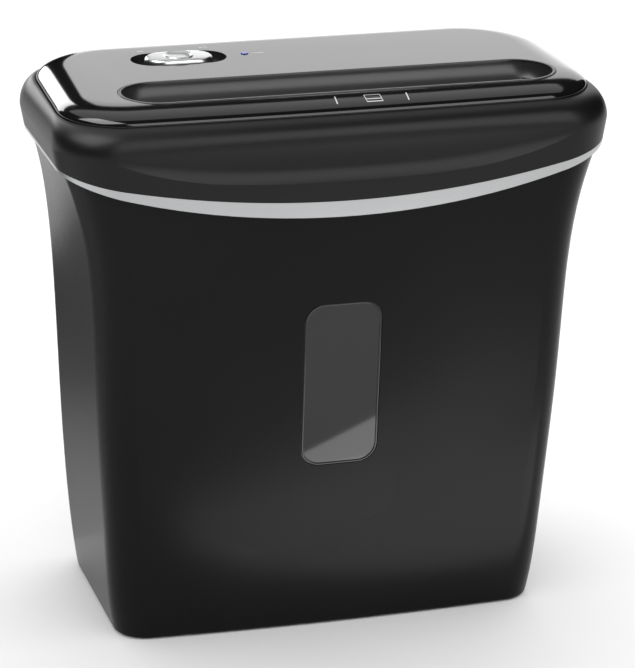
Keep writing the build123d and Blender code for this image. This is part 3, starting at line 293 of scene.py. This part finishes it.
def outline(half, front, back, front_radius, rear_radius, bow, taper):
    """Plan outline: bowed front, rounded corners, sides drawn in to the rear; always the same count."""
    lean = taper / (back - front)
    rear_y = back - rear_radius
    rear_x = half - lean * (rear_y - front) - rear_radius
    front_y = front + front_radius
    front_x = half - lean * (front_y - front) - front_radius
    droop = 2 * bow * front_x / half**2
    front_y -= bow * (1 - (front_x / half) ** 2)
    rear = arc((rear_x, rear_y), rear_radius, lean, pi / 2, CORNER_STEPS)
    fore = arc((front_x, front_y), front_radius, droop - pi / 2, lean, CORNER_STEPS)
    right = fore + spread(fore[-1], rear[0], SIDE_STEPS) + rear
    left = [(-x, y) for x, y in reversed(right)]
    end_x, end_y = fore[0]
    dip = droop * end_x / 2
    shares = [k / FRONT_HALF_STEPS for k in range(1 - FRONT_HALF_STEPS, FRONT_HALF_STEPS)]
    front_run = [(end_x * share, end_y - dip * (1 - share**2)) for share in shares]
    back_run = spread(right[-1], left[0], BACK_STEPS)
    return front_run + right + back_run + left


def stadium(middle, length, width, height):
    """Stadium loop, the same count of points at any size; a round one needs a hair of stretch."""
    radius = width / 2
    reach = length / 2 - radius
    right = arc((middle[0] + reach, middle[1]), radius, -pi / 2, pi / 2, STADIUM_STEPS)
    left = arc((middle[0] - reach, middle[1]), radius, pi / 2, 3 * pi / 2, STADIUM_STEPS)
    rear_run = spread(right[-1], left[0], STADIUM_STEPS)
    front_run = spread(left[-1], right[0], STADIUM_STEPS)
    return at_height(right + rear_run + left + front_run, height)


def loft_faces(rows, count, ring=False, first=0):
    """Faces through rows of points: capped at both ends, or closed on themselves as a ring."""
    faces = []
    for row in range(rows if ring else rows - 1):
        low = first + row * count
        high = first + (row + 1) % rows * count
        for i in range(count):
            j = (i + 1) % count
            faces.append((low + i, low + j, high + j, high + i))
    if not ring:
        last = first + (rows - 1) * count
        faces.append(tuple(reversed(range(first, first + count))))
        faces.append(tuple(range(last, last + count)))
    return faces


def new_piece(name, vertices, faces):
    """Mesh object with its faces turned outwards."""
    mesh = bpy.data.meshes.new(name)
    mesh.from_pydata(vertices, [], faces)
    work = bmesh.new()
    work.from_mesh(mesh)
    bmesh.ops.recalc_face_normals(work, faces=work.faces)
    work.to_mesh(mesh)
    work.free()
    return add_object(name, mesh)


def loft(name, loops, ring=False):
    """Mesh object through loops of equal length."""
    vertices = [point for loop in loops for point in loop]
    return new_piece(name, vertices, loft_faces(len(loops), len(loops[0]), ring))


def carve(piece, cutters):
    """Cut other meshes out of a piece, then delete them."""
    for cutter in cutters:
        cut = piece.modifiers.new("cut", "BOOLEAN")
        cut.operation = "DIFFERENCE"
        cut.solver = "EXACT"
        cut.object = cutter
    depsgraph = bpy.context.evaluated_depsgraph_get()
    mesh = bpy.data.meshes.new_from_object(piece.evaluated_get(depsgraph))
    piece.modifiers.clear()
    piece.data = mesh
    for cutter in cutters:
        bpy.data.objects.remove(cutter)


def finish_piece(piece, material, rides, crease=PLAIN_CREASE):
    """Smooth shading with crisp creases, one material, and the body that carries the piece."""
    mesh = piece.data
    mesh.polygons.foreach_set("use_smooth", [True] * len(mesh.polygons))
    mesh.set_sharp_from_angle(angle=radians(crease))
    mesh.materials.clear()
    mesh.materials.append(material)
    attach(piece, rides)


# The top plate, redrawn with a pillowed edge: mm in the part's frame
DECK_TOP = 290.0
PLATE_EDGE = 292.6
PLATE_TOP = 299.0
PLATE_WALL = 2.5
PLATE_HALF = 146.5
PLATE_FRONT = -63.5
PLATE_BACK = 73.0
PLATE_FRONT_RADIUS = 34.0
PLATE_REAR_RADIUS = 45.0
PLATE_BOW = 3.2
PLATE_TAPER = 5.5
SIDE_ROLL = 17.0
FRONT_ROLL = 24.0
BACK_ROLL = 14.0
ROLL_STEPS = 16
HOLLOW_FRONT = 14.0
HOLLOW_BACK = 12.0
CUT_MARGIN = 5.0

# Openings of the plate: mm in the part's frame
THROAT_X = 8.85
THROAT_Y = -29.0
THROAT_LENGTH = 222.0
THROAT_WIDTH = 5.0
TROUGH_Y = -27.6
TROUGH_LENGTH = 240.0
TROUGH_WIDTH = 41.6
TROUGH_PLAY = 1.6
SWITCH_MIDDLE = (-63.5, 35.5)
POCKET_LENGTH = 53.0
POCKET_WIDTH = 25.5
LED_MIDDLE = (-26.3, 36.5)
LED_ACROSS = 4.4
LED_STRETCH = 0.02


def plate_loop(side_inset, front_inset, back_inset, height):
    """Outline of the top plate at one height, drawn in by three insets."""
    loop = outline(
        PLATE_HALF - side_inset,
        PLATE_FRONT + front_inset,
        PLATE_BACK - back_inset,
        PLATE_FRONT_RADIUS - side_inset,
        PLATE_REAR_RADIUS - side_inset,
        PLATE_BOW,
        PLATE_TAPER,
    )
    return at_height(loop, height)


def plate_hollow():
    """Block that hollows the plate out from below."""
    heights = (DECK_TOP - CUT_MARGIN, PLATE_TOP - PLATE_WALL)
    return loft("hollow", [plate_loop(SIDE_ROLL, HOLLOW_FRONT, HOLLOW_BACK, height) for height in heights])


def plate_opening(middle, length, width):
    """Block that cuts an opening through the plate."""
    heights = (DECK_TOP - CUT_MARGIN, PLATE_TOP + CUT_MARGIN)
    return loft("opening", [stadium(middle, length, width, height) for height in heights])


def build_plate():
    """Glossy top plate: skirt, rolled edge, and openings for trough, switch and indicator."""
    loops = [plate_loop(0, 0, 0, DECK_TOP), plate_loop(0, 0, 0, PLATE_EDGE)]
    for run, rise in quarter(ROLL_STEPS)[1:]:
        height = between(PLATE_EDGE, PLATE_TOP, rise)
        loops.append(plate_loop(SIDE_ROLL * run, FRONT_ROLL * run, BACK_ROLL * run, height))
    piece = loft("plate_cover", loops)
    cutters = [
        plate_hollow(),
        plate_opening((THROAT_X, TROUGH_Y), TROUGH_LENGTH + TROUGH_PLAY, TROUGH_WIDTH + TROUGH_PLAY),
        plate_opening(SWITCH_MIDDLE, POCKET_LENGTH, POCKET_WIDTH),
        plate_opening(LED_MIDDLE, LED_ACROSS + LED_STRETCH, LED_ACROSS),
    ]
    carve(piece, cutters)
    return piece


plate = build_plate()
finish_piece(plate, gloss, "head")
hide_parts("top_panel")

# The feed trough: mm; its bead is a list of growths of the rim and heights over the plate
RIM_GROWTH = 0.8
TROUGH_BEAD = [
    (0.1, -3.0), (0.1, -0.15), (0.0, 0.12), (-0.25, 0.22),
    (-1.35, 0.22), (-1.6, 0.1), (-1.7, -0.3),
]
TROUGH_FLOOR = 285.0
TROUGH_CREASE = 50
LIP_DROP = 0.7
GUTTER_START = 0.09
GUTTER_STEPS = 18
GUTTER_WALL = 1.6
UNDERSIDE_STRIDE = 3
THROAT_DEPTH = 2.0
THROAT_WALL = 2.0


def trough_loop(share, growth, height):
    """Outline of the trough, a share of the way from its rim to the throat."""
    middle = (THROAT_X, between(TROUGH_Y, THROAT_Y, share))
    length = between(TROUGH_LENGTH + RIM_GROWTH, THROAT_LENGTH, share) + 2 * growth
    width = between(TROUGH_WIDTH + RIM_GROWTH, THROAT_WIDTH, share) + 2 * growth
    return stadium(middle, length, width, height)


def build_trough():
    """Satin feed trough: beaded rim, hollow gutter and the slot at its foot."""
    lip = PLATE_TOP - LIP_DROP
    foot = TROUGH_FLOOR - THROAT_DEPTH
    gutter = [
        (between(GUTTER_START, 1, run), between(lip, TROUGH_FLOOR, rise))
        for run, rise in quarter(GUTTER_STEPS)
    ]
    underside = gutter[:0:-UNDERSIDE_STRIDE]
    loops = [trough_loop(0, growth, PLATE_TOP + lift) for growth, lift in TROUGH_BEAD]
    loops += [trough_loop(share, 0, height) for share, height in gutter]
    loops += [trough_loop(1, growth, foot) for growth in (0, THROAT_WALL)]
    loops += [trough_loop(share, GUTTER_WALL, height - GUTTER_WALL) for share, height in underside]
    return loft("feed_trough", loops, ring=True)


trough = build_trough()
finish_piece(trough, satin_trough, "head", TROUGH_CREASE)
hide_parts("top_panel")

# The switch pocket: mm; its rounded foot is a list of growths and heights over the floor
POCKET_FLOOR = 294.0
POCKET_RIM_DROP = 0.5
POCKET_PLAY = 0.1
POCKET_FOOT = [(-0.1, 1.0), (-0.7, 0.25), (-2.0, 0.0)]
POCKET_THICK = 2.0
POCKET_FLANGE = 2.4
STEM_SLOT_LENGTH = 23.0
STEM_SLOT_WIDTH = 4.0


def pocket_loop(growth, height):
    """Outline of the pocket, larger or smaller by a little."""
    return stadium(SWITCH_MIDDLE, POCKET_LENGTH + growth, POCKET_WIDTH + growth, height)


def build_pocket():
    """Recess that the slider runs in, with the slot for its stem."""
    rim = PLATE_TOP - POCKET_RIM_DROP
    base = POCKET_FLOOR - POCKET_THICK
    under_plate = PLATE_TOP - PLATE_WALL
    loops = [pocket_loop(-POCKET_PLAY, rim)]
    loops += [pocket_loop(growth, POCKET_FLOOR + lift) for growth, lift in POCKET_FOOT]
    loops += [
        stadium(SWITCH_MIDDLE, STEM_SLOT_LENGTH, STEM_SLOT_WIDTH, height)
        for height in (POCKET_FLOOR, base)
    ]
    loops += [pocket_loop(POCKET_FLANGE, height) for height in (base, under_plate)]
    loops += [pocket_loop(0, height) for height in (under_plate, rim)]
    return loft("switch_pocket", loops, ring=True)


pocket = build_pocket()
finish_piece(pocket, recess, "head")
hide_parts("top_panel")

# The slider, redrawn as a domed chrome pill: mm; its thumb rest is a list of widths and heights
CAP_LENGTH = 38.0
CAP_WIDTH = 20.5
CAP_BASE = 294.3
CAP_CHAMFER = 0.3
CAP_WALL_TOP = 297.6
CAP_SHOULDER = 300.4
CAP_END_ROUND = 4.2
CAP_SIDE_ROUND = 2.1
CAP_STEPS = 8
CAP_CREASE = 40
STEM_LENGTH = 6.0
STEM_WIDTH = 3.0
STEM_FOOT = 288.3
REST_RIM = [(16.6, 300.75), (15.8, 301.15), (15.2, 301.28), (14.6, 301.2)]
REST_DISH = [(13.0, 300.8), (10.0, 300.4), (6.0, 300.15), (2.0, 300.1)]
REST_STRETCH = 0.01


def build_cap():
    """Chrome slider: stem, upright wall, rounded shoulder and a dished thumb rest."""
    loops = [stadium(SWITCH_MIDDLE, STEM_LENGTH, STEM_WIDTH, height) for height in (STEM_FOOT, CAP_BASE)]
    for inset, height in ((2 * CAP_CHAMFER, CAP_BASE), (0, CAP_BASE + CAP_CHAMFER)):
        loops.append(stadium(SWITCH_MIDDLE, CAP_LENGTH - inset, CAP_WIDTH - inset, height))
    for run, rise in quarter(CAP_STEPS):
        length = CAP_LENGTH - CAP_END_ROUND * run
        width = CAP_WIDTH - CAP_SIDE_ROUND * run
        loops.append(stadium(SWITCH_MIDDLE, length, width, between(CAP_WALL_TOP, CAP_SHOULDER, rise)))
    for across, height in REST_RIM + REST_DISH:
        loops.append(stadium(SWITCH_MIDDLE, across + REST_STRETCH, across, height))
    return loft("slider_cap", loops)


cap = build_cap()
finish_piece(cap, chrome, "slider", CAP_CREASE)
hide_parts("switch_slider")

# The head's casing, redrawn with a scoop that fades into its shoulder: mm in the part's frame
# The lists give a few heights, and the casing's half width, front and back at each
HEAD_HEIGHTS = [236.0, 251.0, 266.0, 281.0, 293.0]
HEAD_HALVES = [145.5, 147.5, 149.5, 152.2, 152.5]
HEAD_FRONTS = [-76.0, -77.5, -76.6, -75.6, -75.2]
HEAD_BACKS = [78.5, 80.0, 81.2, 82.0, 82.0]
HEAD_FOOT = HEAD_HEIGHTS[0]
HEAD_FRONT_RADIUS = 31.0
HEAD_REAR_RADIUS = 54.0
HEAD_BOW = 4.5
HEAD_TAPER = 0.0
HEAD_WALL = 3.2
HEAD_FRONT_WALL = 7.5
HEAD_CREASE = 24
SHOULDER_START = 279.0
RIM_TOP = 292.2
RIM_GAP = 0.6
DECK_THICK = 2.5
INNER_WALL_TOP = 278.0
GUIDE_HEIGHT = 262.0
LEVEL_STEP = 0.5

# Opening in the deck below the plate: mm in the part's frame
OPENING_HALF = 118.0
OPENING_FRONT = -51.0
OPENING_BACK = 55.0
OPENING_FRONT_RADIUS = 20.0
OPENING_REAR_RADIUS = 24.0
OPENING_BOW = 2.0
OPENING_TAPER = 4.0

# Smile-shaped edges of the casing and the silver band in its rebate: mm
SMILE_HALF = 149.0
EDGE_MIDDLE = 241.3
EDGE_RISE = 25.0
BAND_MIDDLE = 250.0
BAND_RISE = 18.5
BAND_END = 34.0
BAND_REBATE = 1.5

# The crease under the scoop, a curve of x to the second and fourth powers, and the scoop itself: mm
CREASE_MIDDLE = 260.5
CREASE_SQUARE = 3.5e-4
CREASE_FOURTH = 4.4e-8
CREASE_GAP = 0.5
SCOOP_DEPTH = 3.0
SCOOP_HALF = 136.0
SCOOP_REACH = -45.0
SCOOP_RAMP = 8.0
SCOOP_POWER = 0.8
SCOOP_FADE_START = 272.0
SCOOP_FADE = 19.0

# Rows of points up the casing's outside
REBATE_ROWS = 2
LIP_ROWS = 10
SCOOP_ROWS = 26
SCOOP_ROW_POWER = 1.5
SHOULDER_ROWS = 26


def through(height, heights, values):
    """Smooth curve through a few values, one for each height."""
    total = 0.0
    for i, value in enumerate(values):
        for j, other in enumerate(heights):
            if i != j:
                value *= (height - other) / (heights[i] - other)
        total += value
    return total


def head_outline(height, inset=0.0, front_inset=0.0):
    """Outline of the casing at one height, drawn in by two insets."""
    return outline(
        through(height, HEAD_HEIGHTS, HEAD_HALVES) - inset,
        through(height, HEAD_HEIGHTS, HEAD_FRONTS) + front_inset,
        through(height, HEAD_HEIGHTS, HEAD_BACKS) - inset,
        HEAD_FRONT_RADIUS - front_inset,
        HEAD_REAR_RADIUS - inset,
        HEAD_BOW,
        HEAD_TAPER,
    )


def head_levels(inset=0.0, front_inset=0.0):
    """Outlines of the casing at even steps of height, from its foot to its shoulder."""
    count = int((SHOULDER_START - HEAD_FOOT) / LEVEL_STEP) + 2
    return [head_outline(HEAD_FOOT + LEVEL_STEP * i, inset, front_inset) for i in range(count)]


def level_point(levels, k, z):
    """Place of an outline's point k at a height between two levels."""
    place = (z - HEAD_FOOT) / LEVEL_STEP
    row = min(int(place), len(levels) - 2)
    low, high = levels[row][k], levels[row + 1][k]
    return between(low[0], high[0], place - row), between(low[1], high[1], place - row)


def smile(x, middle, rise):
    """Height of a smile arc at one distance from the middle."""
    radius = (SMILE_HALF**2 + rise**2) / (2 * rise)
    return middle + radius - (radius**2 - x**2) ** 0.5


def edge_height(x):
    """Lower edge of the casing."""
    return smile(x, EDGE_MIDDLE, EDGE_RISE)


def band_height(x):
    """Upper edge of the silver band."""
    return smile(x, BAND_MIDDLE, BAND_RISE)


def crease_height(x):
    """Crease at the foot of the scoop."""
    height = CREASE_MIDDLE + CREASE_SQUARE * x**2 + CREASE_FOURTH * x**4
    return min(height, SHOULDER_START - CREASE_GAP)


def shoulder_height(x):
    """Start of the rounded shoulder, level all round."""
    return SHOULDER_START


def smooth(value):
    """Soft step from 0 to 1."""
    value = min(max(value, 0.0), 1.0)
    return value * value * (3 - 2 * value)


def scooped(x, y, z):
    """Point in metres, pushed back into the scoop if it lies at the front above the crease."""
    rise = z - crease_height(x)
    if y <= SCOOP_REACH and rise > 0 and abs(x) < SCOOP_HALF:
        ramp = min(rise / SCOOP_RAMP, 1.0)
        depth = SCOOP_DEPTH * (1 - (x / SCOOP_HALF) ** 2) ** SCOOP_POWER
        y += depth * (1 - (1 - ramp) ** 2) * (1 - smooth((z - SCOOP_FADE_START) / SCOOP_FADE))
    return metres(x, y, z)


def head_wall_rows(guide):
    """Rows of the casing's outside: rebate behind the band, lip, and scooped wall to the shoulder."""
    outer = head_levels()
    rebated = head_levels(BAND_REBATE, BAND_REBATE)

    def row(low_of, high_of, share, behind_band=False):
        """Row a share of the way between two edges; the guide says where each of its points stands."""
        loop = []
        for k, (x, y) in enumerate(guide):
            z = between(low_of(x), high_of(x), share)
            levels = rebated if behind_band and y < BAND_END else outer
            loop.append(scooped(*level_point(levels, k, z), z))
        return loop

    rows = [row(edge_height, band_height, i / REBATE_ROWS, True) for i in range(REBATE_ROWS + 1)]
    rows += [row(band_height, crease_height, i / LIP_ROWS) for i in range(LIP_ROWS + 1)]
    for i in range(1, SCOOP_ROWS + 1):
        rows.append(row(crease_height, shoulder_height, (i / SCOOP_ROWS) ** SCOOP_ROW_POWER))
    return rows


def head_shoulder_rows(groove):
    """Rows of the rounded shoulder, up to the groove round the plate."""
    shoulder = head_outline(SHOULDER_START)
    rows = []
    for run, rise in quarter(SHOULDER_ROWS)[1:]:
        z = between(SHOULDER_START, RIM_TOP, rise)
        rows.append([
            scooped(between(low[0], high[0], run), between(low[1], high[1], run), z)
            for low, high in zip(shoulder, groove)
        ])
    return rows


def build_head():
    """Casing shell: wall, shoulder, groove for the plate, deck with its opening, and inner wall."""
    guide = head_outline(GUIDE_HEIGHT)
    groove = outline(
        PLATE_HALF + RIM_GAP,
        PLATE_FRONT - RIM_GAP,
        PLATE_BACK + RIM_GAP,
        PLATE_FRONT_RADIUS + RIM_GAP,
        PLATE_REAR_RADIUS + RIM_GAP,
        PLATE_BOW,
        PLATE_TAPER,
    )
    deck_opening = outline(
        OPENING_HALF,
        OPENING_FRONT,
        OPENING_BACK,
        OPENING_FRONT_RADIUS,
        OPENING_REAR_RADIUS,
        OPENING_BOW,
        OPENING_TAPER,
    )
    deck_base = DECK_TOP - DECK_THICK
    loops = head_wall_rows(guide) + head_shoulder_rows(groove)
    loops.append(at_height(groove, DECK_TOP))
    loops += [at_height(deck_opening, z) for z in (DECK_TOP, deck_base)]
    loops += [at_height(head_outline(z, HEAD_WALL, HEAD_FRONT_WALL), z) for z in (deck_base, INNER_WALL_TOP)]
    inner = head_levels(HEAD_WALL, HEAD_FRONT_WALL)
    edges = [edge_height(x) for x, _ in guide]
    loops.append([metres(*level_point(inner, k, z), z) for k, z in enumerate(edges)])
    return loft("head_shell", loops, ring=True)


# Vents in the casing's rear wall and the notch round the cord entry: mm in the part's frame
VENT_COUNT = 12
VENT_PITCH = 6.0
VENT_X = -68.0
VENT_Z = 270.0
VENT_HEIGHT = 16.0
VENT_WIDTH = 2.5
VENT_DEPTHS = (70.0, 95.0)
NOTCH_LOW = (90.0, 70.0, 220.0)
NOTCH_HIGH = (116.0, 100.0, 283.5)


def vent_cutter(x):
    """Upright stadium through the rear wall."""
    flat = stadium((0, 0), VENT_HEIGHT, VENT_WIDTH, 0)
    loops = [
        [(x * MM + across, depth * MM, VENT_Z * MM + up) for up, across, _ in flat]
        for depth in VENT_DEPTHS
    ]
    return loft("vent", loops)


def block(name, low, high):
    """Box between two corners."""
    corners = [(low[0], low[1]), (high[0], low[1]), (high[0], high[1]), (low[0], high[1])]
    return loft(name, [at_height(corners, z) for z in (low[2], high[2])])


casing = build_head()
vents = [vent_cutter(VENT_X + VENT_PITCH * (i - (VENT_COUNT - 1) / 2)) for i in range(VENT_COUNT)]
carve(casing, vents + [block("notch", NOTCH_LOW, NOTCH_HIGH)])
finish_piece(casing, casing_black, "head", HEAD_CREASE)
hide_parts("upper_housing")

# Printed marks, generic shapes laid on the plate: mm in plan
PRINT_THICK = 0.06
PRINT_SINK = 0.05
RAY_START = 400.0
LINE_STEPS = 6
MARK_WIDTH = 0.6
LEFT_TICK = ((-2.0, -54.0), (-2.6, -61.6))
RIGHT_TICK = ((37.0, -54.4), (36.4, -62.0))
PAGE_LEFT = 13.8
PAGE_RIGHT = 22.4
PAGE_REAR = -54.3
PAGE_FRONT = -61.2
PAGE_FOLD = -58.7
PAGE_WIDTH = 0.3
BAR = ((-82.4, 53.0), (-79.0, 53.2))
BAR_WIDTH = 0.9
BAR_STEPS = 2
TRIANGLE_TIP = (-47.6, 53.6)
TRIANGLE_REAR = (-43.8, 55.4)
TRIANGLE_FRONT = (-43.8, 51.8)
TRIANGLE_WIDTH = 0.5
TRIANGLE_STEPS = 2
DASH = ((-22.4, 36.6), (-15.4, 36.0))
DASH_WIDTH = 0.6
DASH_STEPS = 3


def surface_of(mesh):
    """Faces of a mesh, ready for ray casts."""
    points = [vertex.co.copy() for vertex in mesh.vertices]
    return BVHTree.FromPolygons(points, [tuple(face.vertices) for face in mesh.polygons])


plate_surface = surface_of(plate.data)


def on_plate(place, lift):
    """Point over the plate's surface at a place in plan."""
    start = Vector(metres(place.x, place.y, RAY_START))
    hit, _, _, _ = plate_surface.ray_cast(start, Vector((0, 0, -1)))
    return tuple(hit + Vector((0, 0, lift * MM)))


def strip_loops(path, width):
    """Loops of a thin raised strip, one for each point of its path."""
    loops = []
    for i, point in enumerate(path):
        before = Vector(path[max(i - 1, 0)])
        after = Vector(path[min(i + 1, len(path) - 1)])
        along = (after - before).normalized()
        across = Vector((-along.y, along.x)) * width / 2
        left = Vector(point) - across
        right = Vector(point) + across
        corners = ((left, -PRINT_SINK), (left, PRINT_THICK), (right, PRINT_THICK), (right, -PRINT_SINK))
        loops.append([on_plate(place, lift) for place, lift in corners])
    return loops


def print_strips(name, strips):
    """One printed piece, from strips that are each a path and a width."""
    vertices = []
    faces = []
    for path, width in strips:
        loops = strip_loops(path, width)
        faces += loft_faces(len(loops), len(loops[0]), first=len(vertices))
        vertices += [point for loop in loops for point in loop]
    finish_piece(new_piece(name, vertices, faces), print_white, "head")


def line(first, last, count=LINE_STEPS):
    """Path between two points, both included."""
    return [first] + spread(first, last, count) + [last]


feed_strips = [
    (line(*LEFT_TICK), MARK_WIDTH),
    (line(*RIGHT_TICK), MARK_WIDTH),
    (line((PAGE_LEFT, PAGE_FRONT), (PAGE_LEFT, PAGE_REAR)), PAGE_WIDTH),
    (line((PAGE_LEFT, PAGE_REAR), (PAGE_RIGHT, PAGE_REAR)), PAGE_WIDTH),
    (line((PAGE_RIGHT, PAGE_REAR), (PAGE_RIGHT, PAGE_FRONT)), PAGE_WIDTH),
    (line((PAGE_RIGHT, PAGE_FRONT), (PAGE_LEFT, PAGE_FRONT)), MARK_WIDTH),
    (line((PAGE_LEFT, PAGE_FOLD), (PAGE_RIGHT, PAGE_FOLD)), MARK_WIDTH),
]
print_strips("feed_marks", feed_strips)
triangle = line(TRIANGLE_TIP, TRIANGLE_REAR, TRIANGLE_STEPS) + [TRIANGLE_FRONT, TRIANGLE_TIP]
switch_strips = [
    (line(*BAR, BAR_STEPS), BAR_WIDTH),
    (triangle, TRIANGLE_WIDTH),
    (line(*DASH, DASH_STEPS), DASH_WIDTH),
]
print_strips("switch_marks", switch_strips)

# A fine bead round the viewing window: mm; its profile is a list of insets and depths in the bin's face
BIN_SEAT = 226.0
BIN_SEAT_FRONT = -70.77
BIN_LEAN = radians(3.36)
BIN_BOW = 4.1
BIN_HALF = 122.0
WINDOW_HALF_WIDTH = 21.6
WINDOW_HALF_HEIGHT = 47.1
WINDOW_RADIUS = 11.0
WINDOW_MIDDLE = 143.3
WINDOW_CORNER_STEPS = 12
BEAD_PROFILE = [(0.35, 0.75), (0.35, 0.3), (0.5, 0.08), (0.85, 0.0), (1.2, 0.08), (1.4, 0.3), (1.4, 0.75)]


def bin_front(x, z):
    """Depth of the bin's outer front face."""
    return BIN_SEAT_FRONT + (BIN_SEAT - z) * tan(BIN_LEAN) - BIN_BOW * (1 - (x / BIN_HALF) ** 2)


def window_loop(inset, depth):
    """Outline of the window drawn in by an inset, at one depth below the bin's face."""
    radius = WINDOW_RADIUS - inset
    reach_x = WINDOW_HALF_WIDTH - WINDOW_RADIUS
    reach_z = WINDOW_HALF_HEIGHT - WINDOW_RADIUS
    loop = []
    for turn, (side, end) in enumerate(((1, 1), (-1, 1), (-1, -1), (1, -1))):
        centre = (side * reach_x, WINDOW_MIDDLE + end * reach_z)
        loop += arc(centre, radius, turn * pi / 2, (turn + 1) * pi / 2, WINDOW_CORNER_STEPS)
    return [metres(x, bin_front(x, z) + depth, z) for x, z in loop]


bead = loft("window_bead", [window_loop(inset, depth) for inset, depth in BEAD_PROFILE], ring=True)
finish_piece(bead, smoked, "bin")

# Studio: metres in the part's frame
WORLD_STRENGTH = 1.14
FLOOR_HALF = 6.0
FLOOR_DROP = 0.0005
CARD_LENGTH = 0.5
CARD_HALF_WIDTH = 0.4
CARD_PLACE = (-0.52, 0.08, 0.001)
CARD_NEAR = 0.75
CARD_MIDDLE = 0.20
CARD_MIDDLE_END = 0.25
CARD_FAR = 0.06
CARD_FAR_END = 0.55
CARD_ROUGH = 0.8
FLOOR_LIGHT_LIFT = 0.001
FLOOR_STRIP_TURN = radians(-28.6)

SCENE.view_settings.view_transform = "Standard"


def add_world():
    """White surroundings that give light and aren't mirrored."""
    world = bpy.data.worlds.new("studio")
    SCENE.world = world
    world.use_nodes = True
    background = world.node_tree.nodes["Background"]
    background.inputs["Color"].default_value = (1, 1, 1, 1)
    background.inputs["Strength"].default_value = WORLD_STRENGTH
    world.cycles_visibility.glossy = False


def sheet(name, left, right, half_width, material):
    """Level rectangle with one material."""
    corners = [(left, -half_width, 0), (right, -half_width, 0), (right, half_width, 0), (left, half_width, 0)]
    mesh = bpy.data.meshes.new(name)
    mesh.from_pydata(corners, [], [(0, 1, 2, 3)])
    mesh.materials.append(material)
    return add_object(name, mesh)


def grey(level):
    """Opaque grey of one level."""
    return (level, level, level, 1)


def graded_grey():
    """Matt grey of the card, darker towards its far end."""
    material, tree, shader = new_material("card_grey")
    place = tree.nodes.new("ShaderNodeTexCoord")
    fall = tree.nodes.new("ShaderNodeTexGradient")
    shades = tree.nodes.new("ShaderNodeValToRGB")
    near, far = shades.color_ramp.elements
    near.color = grey(CARD_NEAR)
    far.position = CARD_FAR_END
    far.color = grey(CARD_FAR)
    shades.color_ramp.elements.new(CARD_MIDDLE_END).color = grey(CARD_MIDDLE)
    tree.links.new(place.outputs["Object"], fall.inputs["Vector"])
    tree.links.new(fall.outputs["Color"], shades.inputs["Fac"])
    tree.links.new(shades.outputs["Color"], shader.inputs["Base Color"])
    shader.inputs["Roughness"].default_value = CARD_ROUGH
    shader.inputs["Specular IOR Level"].default_value = 0.0
    return material


add_world()
floor_white = moulded(
    "floor_white", dark=(0.90, 0.90, 0.90), light=(0.92, 0.92, 0.92),
    rough=(0.20, 0.24), specular=0.0,
)
floor = sheet("floor", -FLOOR_HALF, FLOOR_HALF, FLOOR_HALF, floor_white)
floor.location.z = -FLOOR_DROP

# A graded card on the floor behind the left side, seen only in reflections
card = sheet("grey_card", 0, CARD_LENGTH, CARD_HALF_WIDTH, graded_grey())
card.location = CARD_PLACE
card.rotation_euler.z = pi / 2
card.visible_camera = False
card.visible_diffuse = False
card.visible_shadow = False


def add_light(name, place, aim, size, power):
    """Rectangular light that faces its aim and isn't seen by the camera."""
    data = bpy.data.lights.new(name, "AREA")
    data.shape = "RECTANGLE"
    data.size, data.size_y = size
    data.energy = power
    light = add_object(name, data)
    light.location = place
    light.rotation_mode = "QUATERNION"
    light.rotation_quaternion = (Vector(aim) - Vector(place)).to_track_quat("-Z", "Y")
    light.visible_camera = False
    return light


def panel(name, place, aim, size, radiance):
    """Softbox of a stated radiance, seen only in reflections."""
    light = add_light(name, place, aim, size, radiance * pi * size[0] * size[1])
    light.visible_diffuse = False
    return light


def floor_panel(name, place, size, radiance):
    """Softbox that lies on the floor and faces up."""
    lifted = (*place, FLOOR_LIGHT_LIFT)
    return panel(name, lifted, (*place, 1.0), size, radiance)


key = add_light("key", place=(0.2, 1.0, 2.2), aim=(0, 0.1, 0.0), size=(2.0, 1.4), power=12)
key.visible_glossy = False
panel("back_panel", place=(1.15, 2.4, 0.83), aim=(1.15, 0, 0.83), size=(1.66, 1.40), radiance=1.75)
panel("left_strip", place=(-0.66, 2.4, 1.02), aim=(-0.66, 0, 1.02), size=(1.30, 1.10), radiance=5.5)
panel("ceiling", place=(0.3, 1.7, 2.6), aim=(0.3, 1.7, 0), size=(3.0, 2.6), radiance=0.9)
panel("overhead", place=(-0.80, -0.1, 1.8), aim=(-0.30, 0, 0.3), size=(1.5, 1.2), radiance=6.0)
panel("front_panel", place=(0.70, -1.75, 1.40), aim=(0.05, 0, 0.27), size=(1.6, 1.9), radiance=3.2)
strip = floor_panel("floor_strip", place=(0.104, -0.249), size=(0.35, 0.07), radiance=2.6)
strip.rotation_mode = "XYZ"
strip.rotation_euler = (pi, 0, FLOOR_STRIP_TURN)
glow = floor_panel("floor_glow", place=(0.110, -0.170), size=(0.36, 0.14), radiance=2.2)
glow.data.shape = "ELLIPSE"
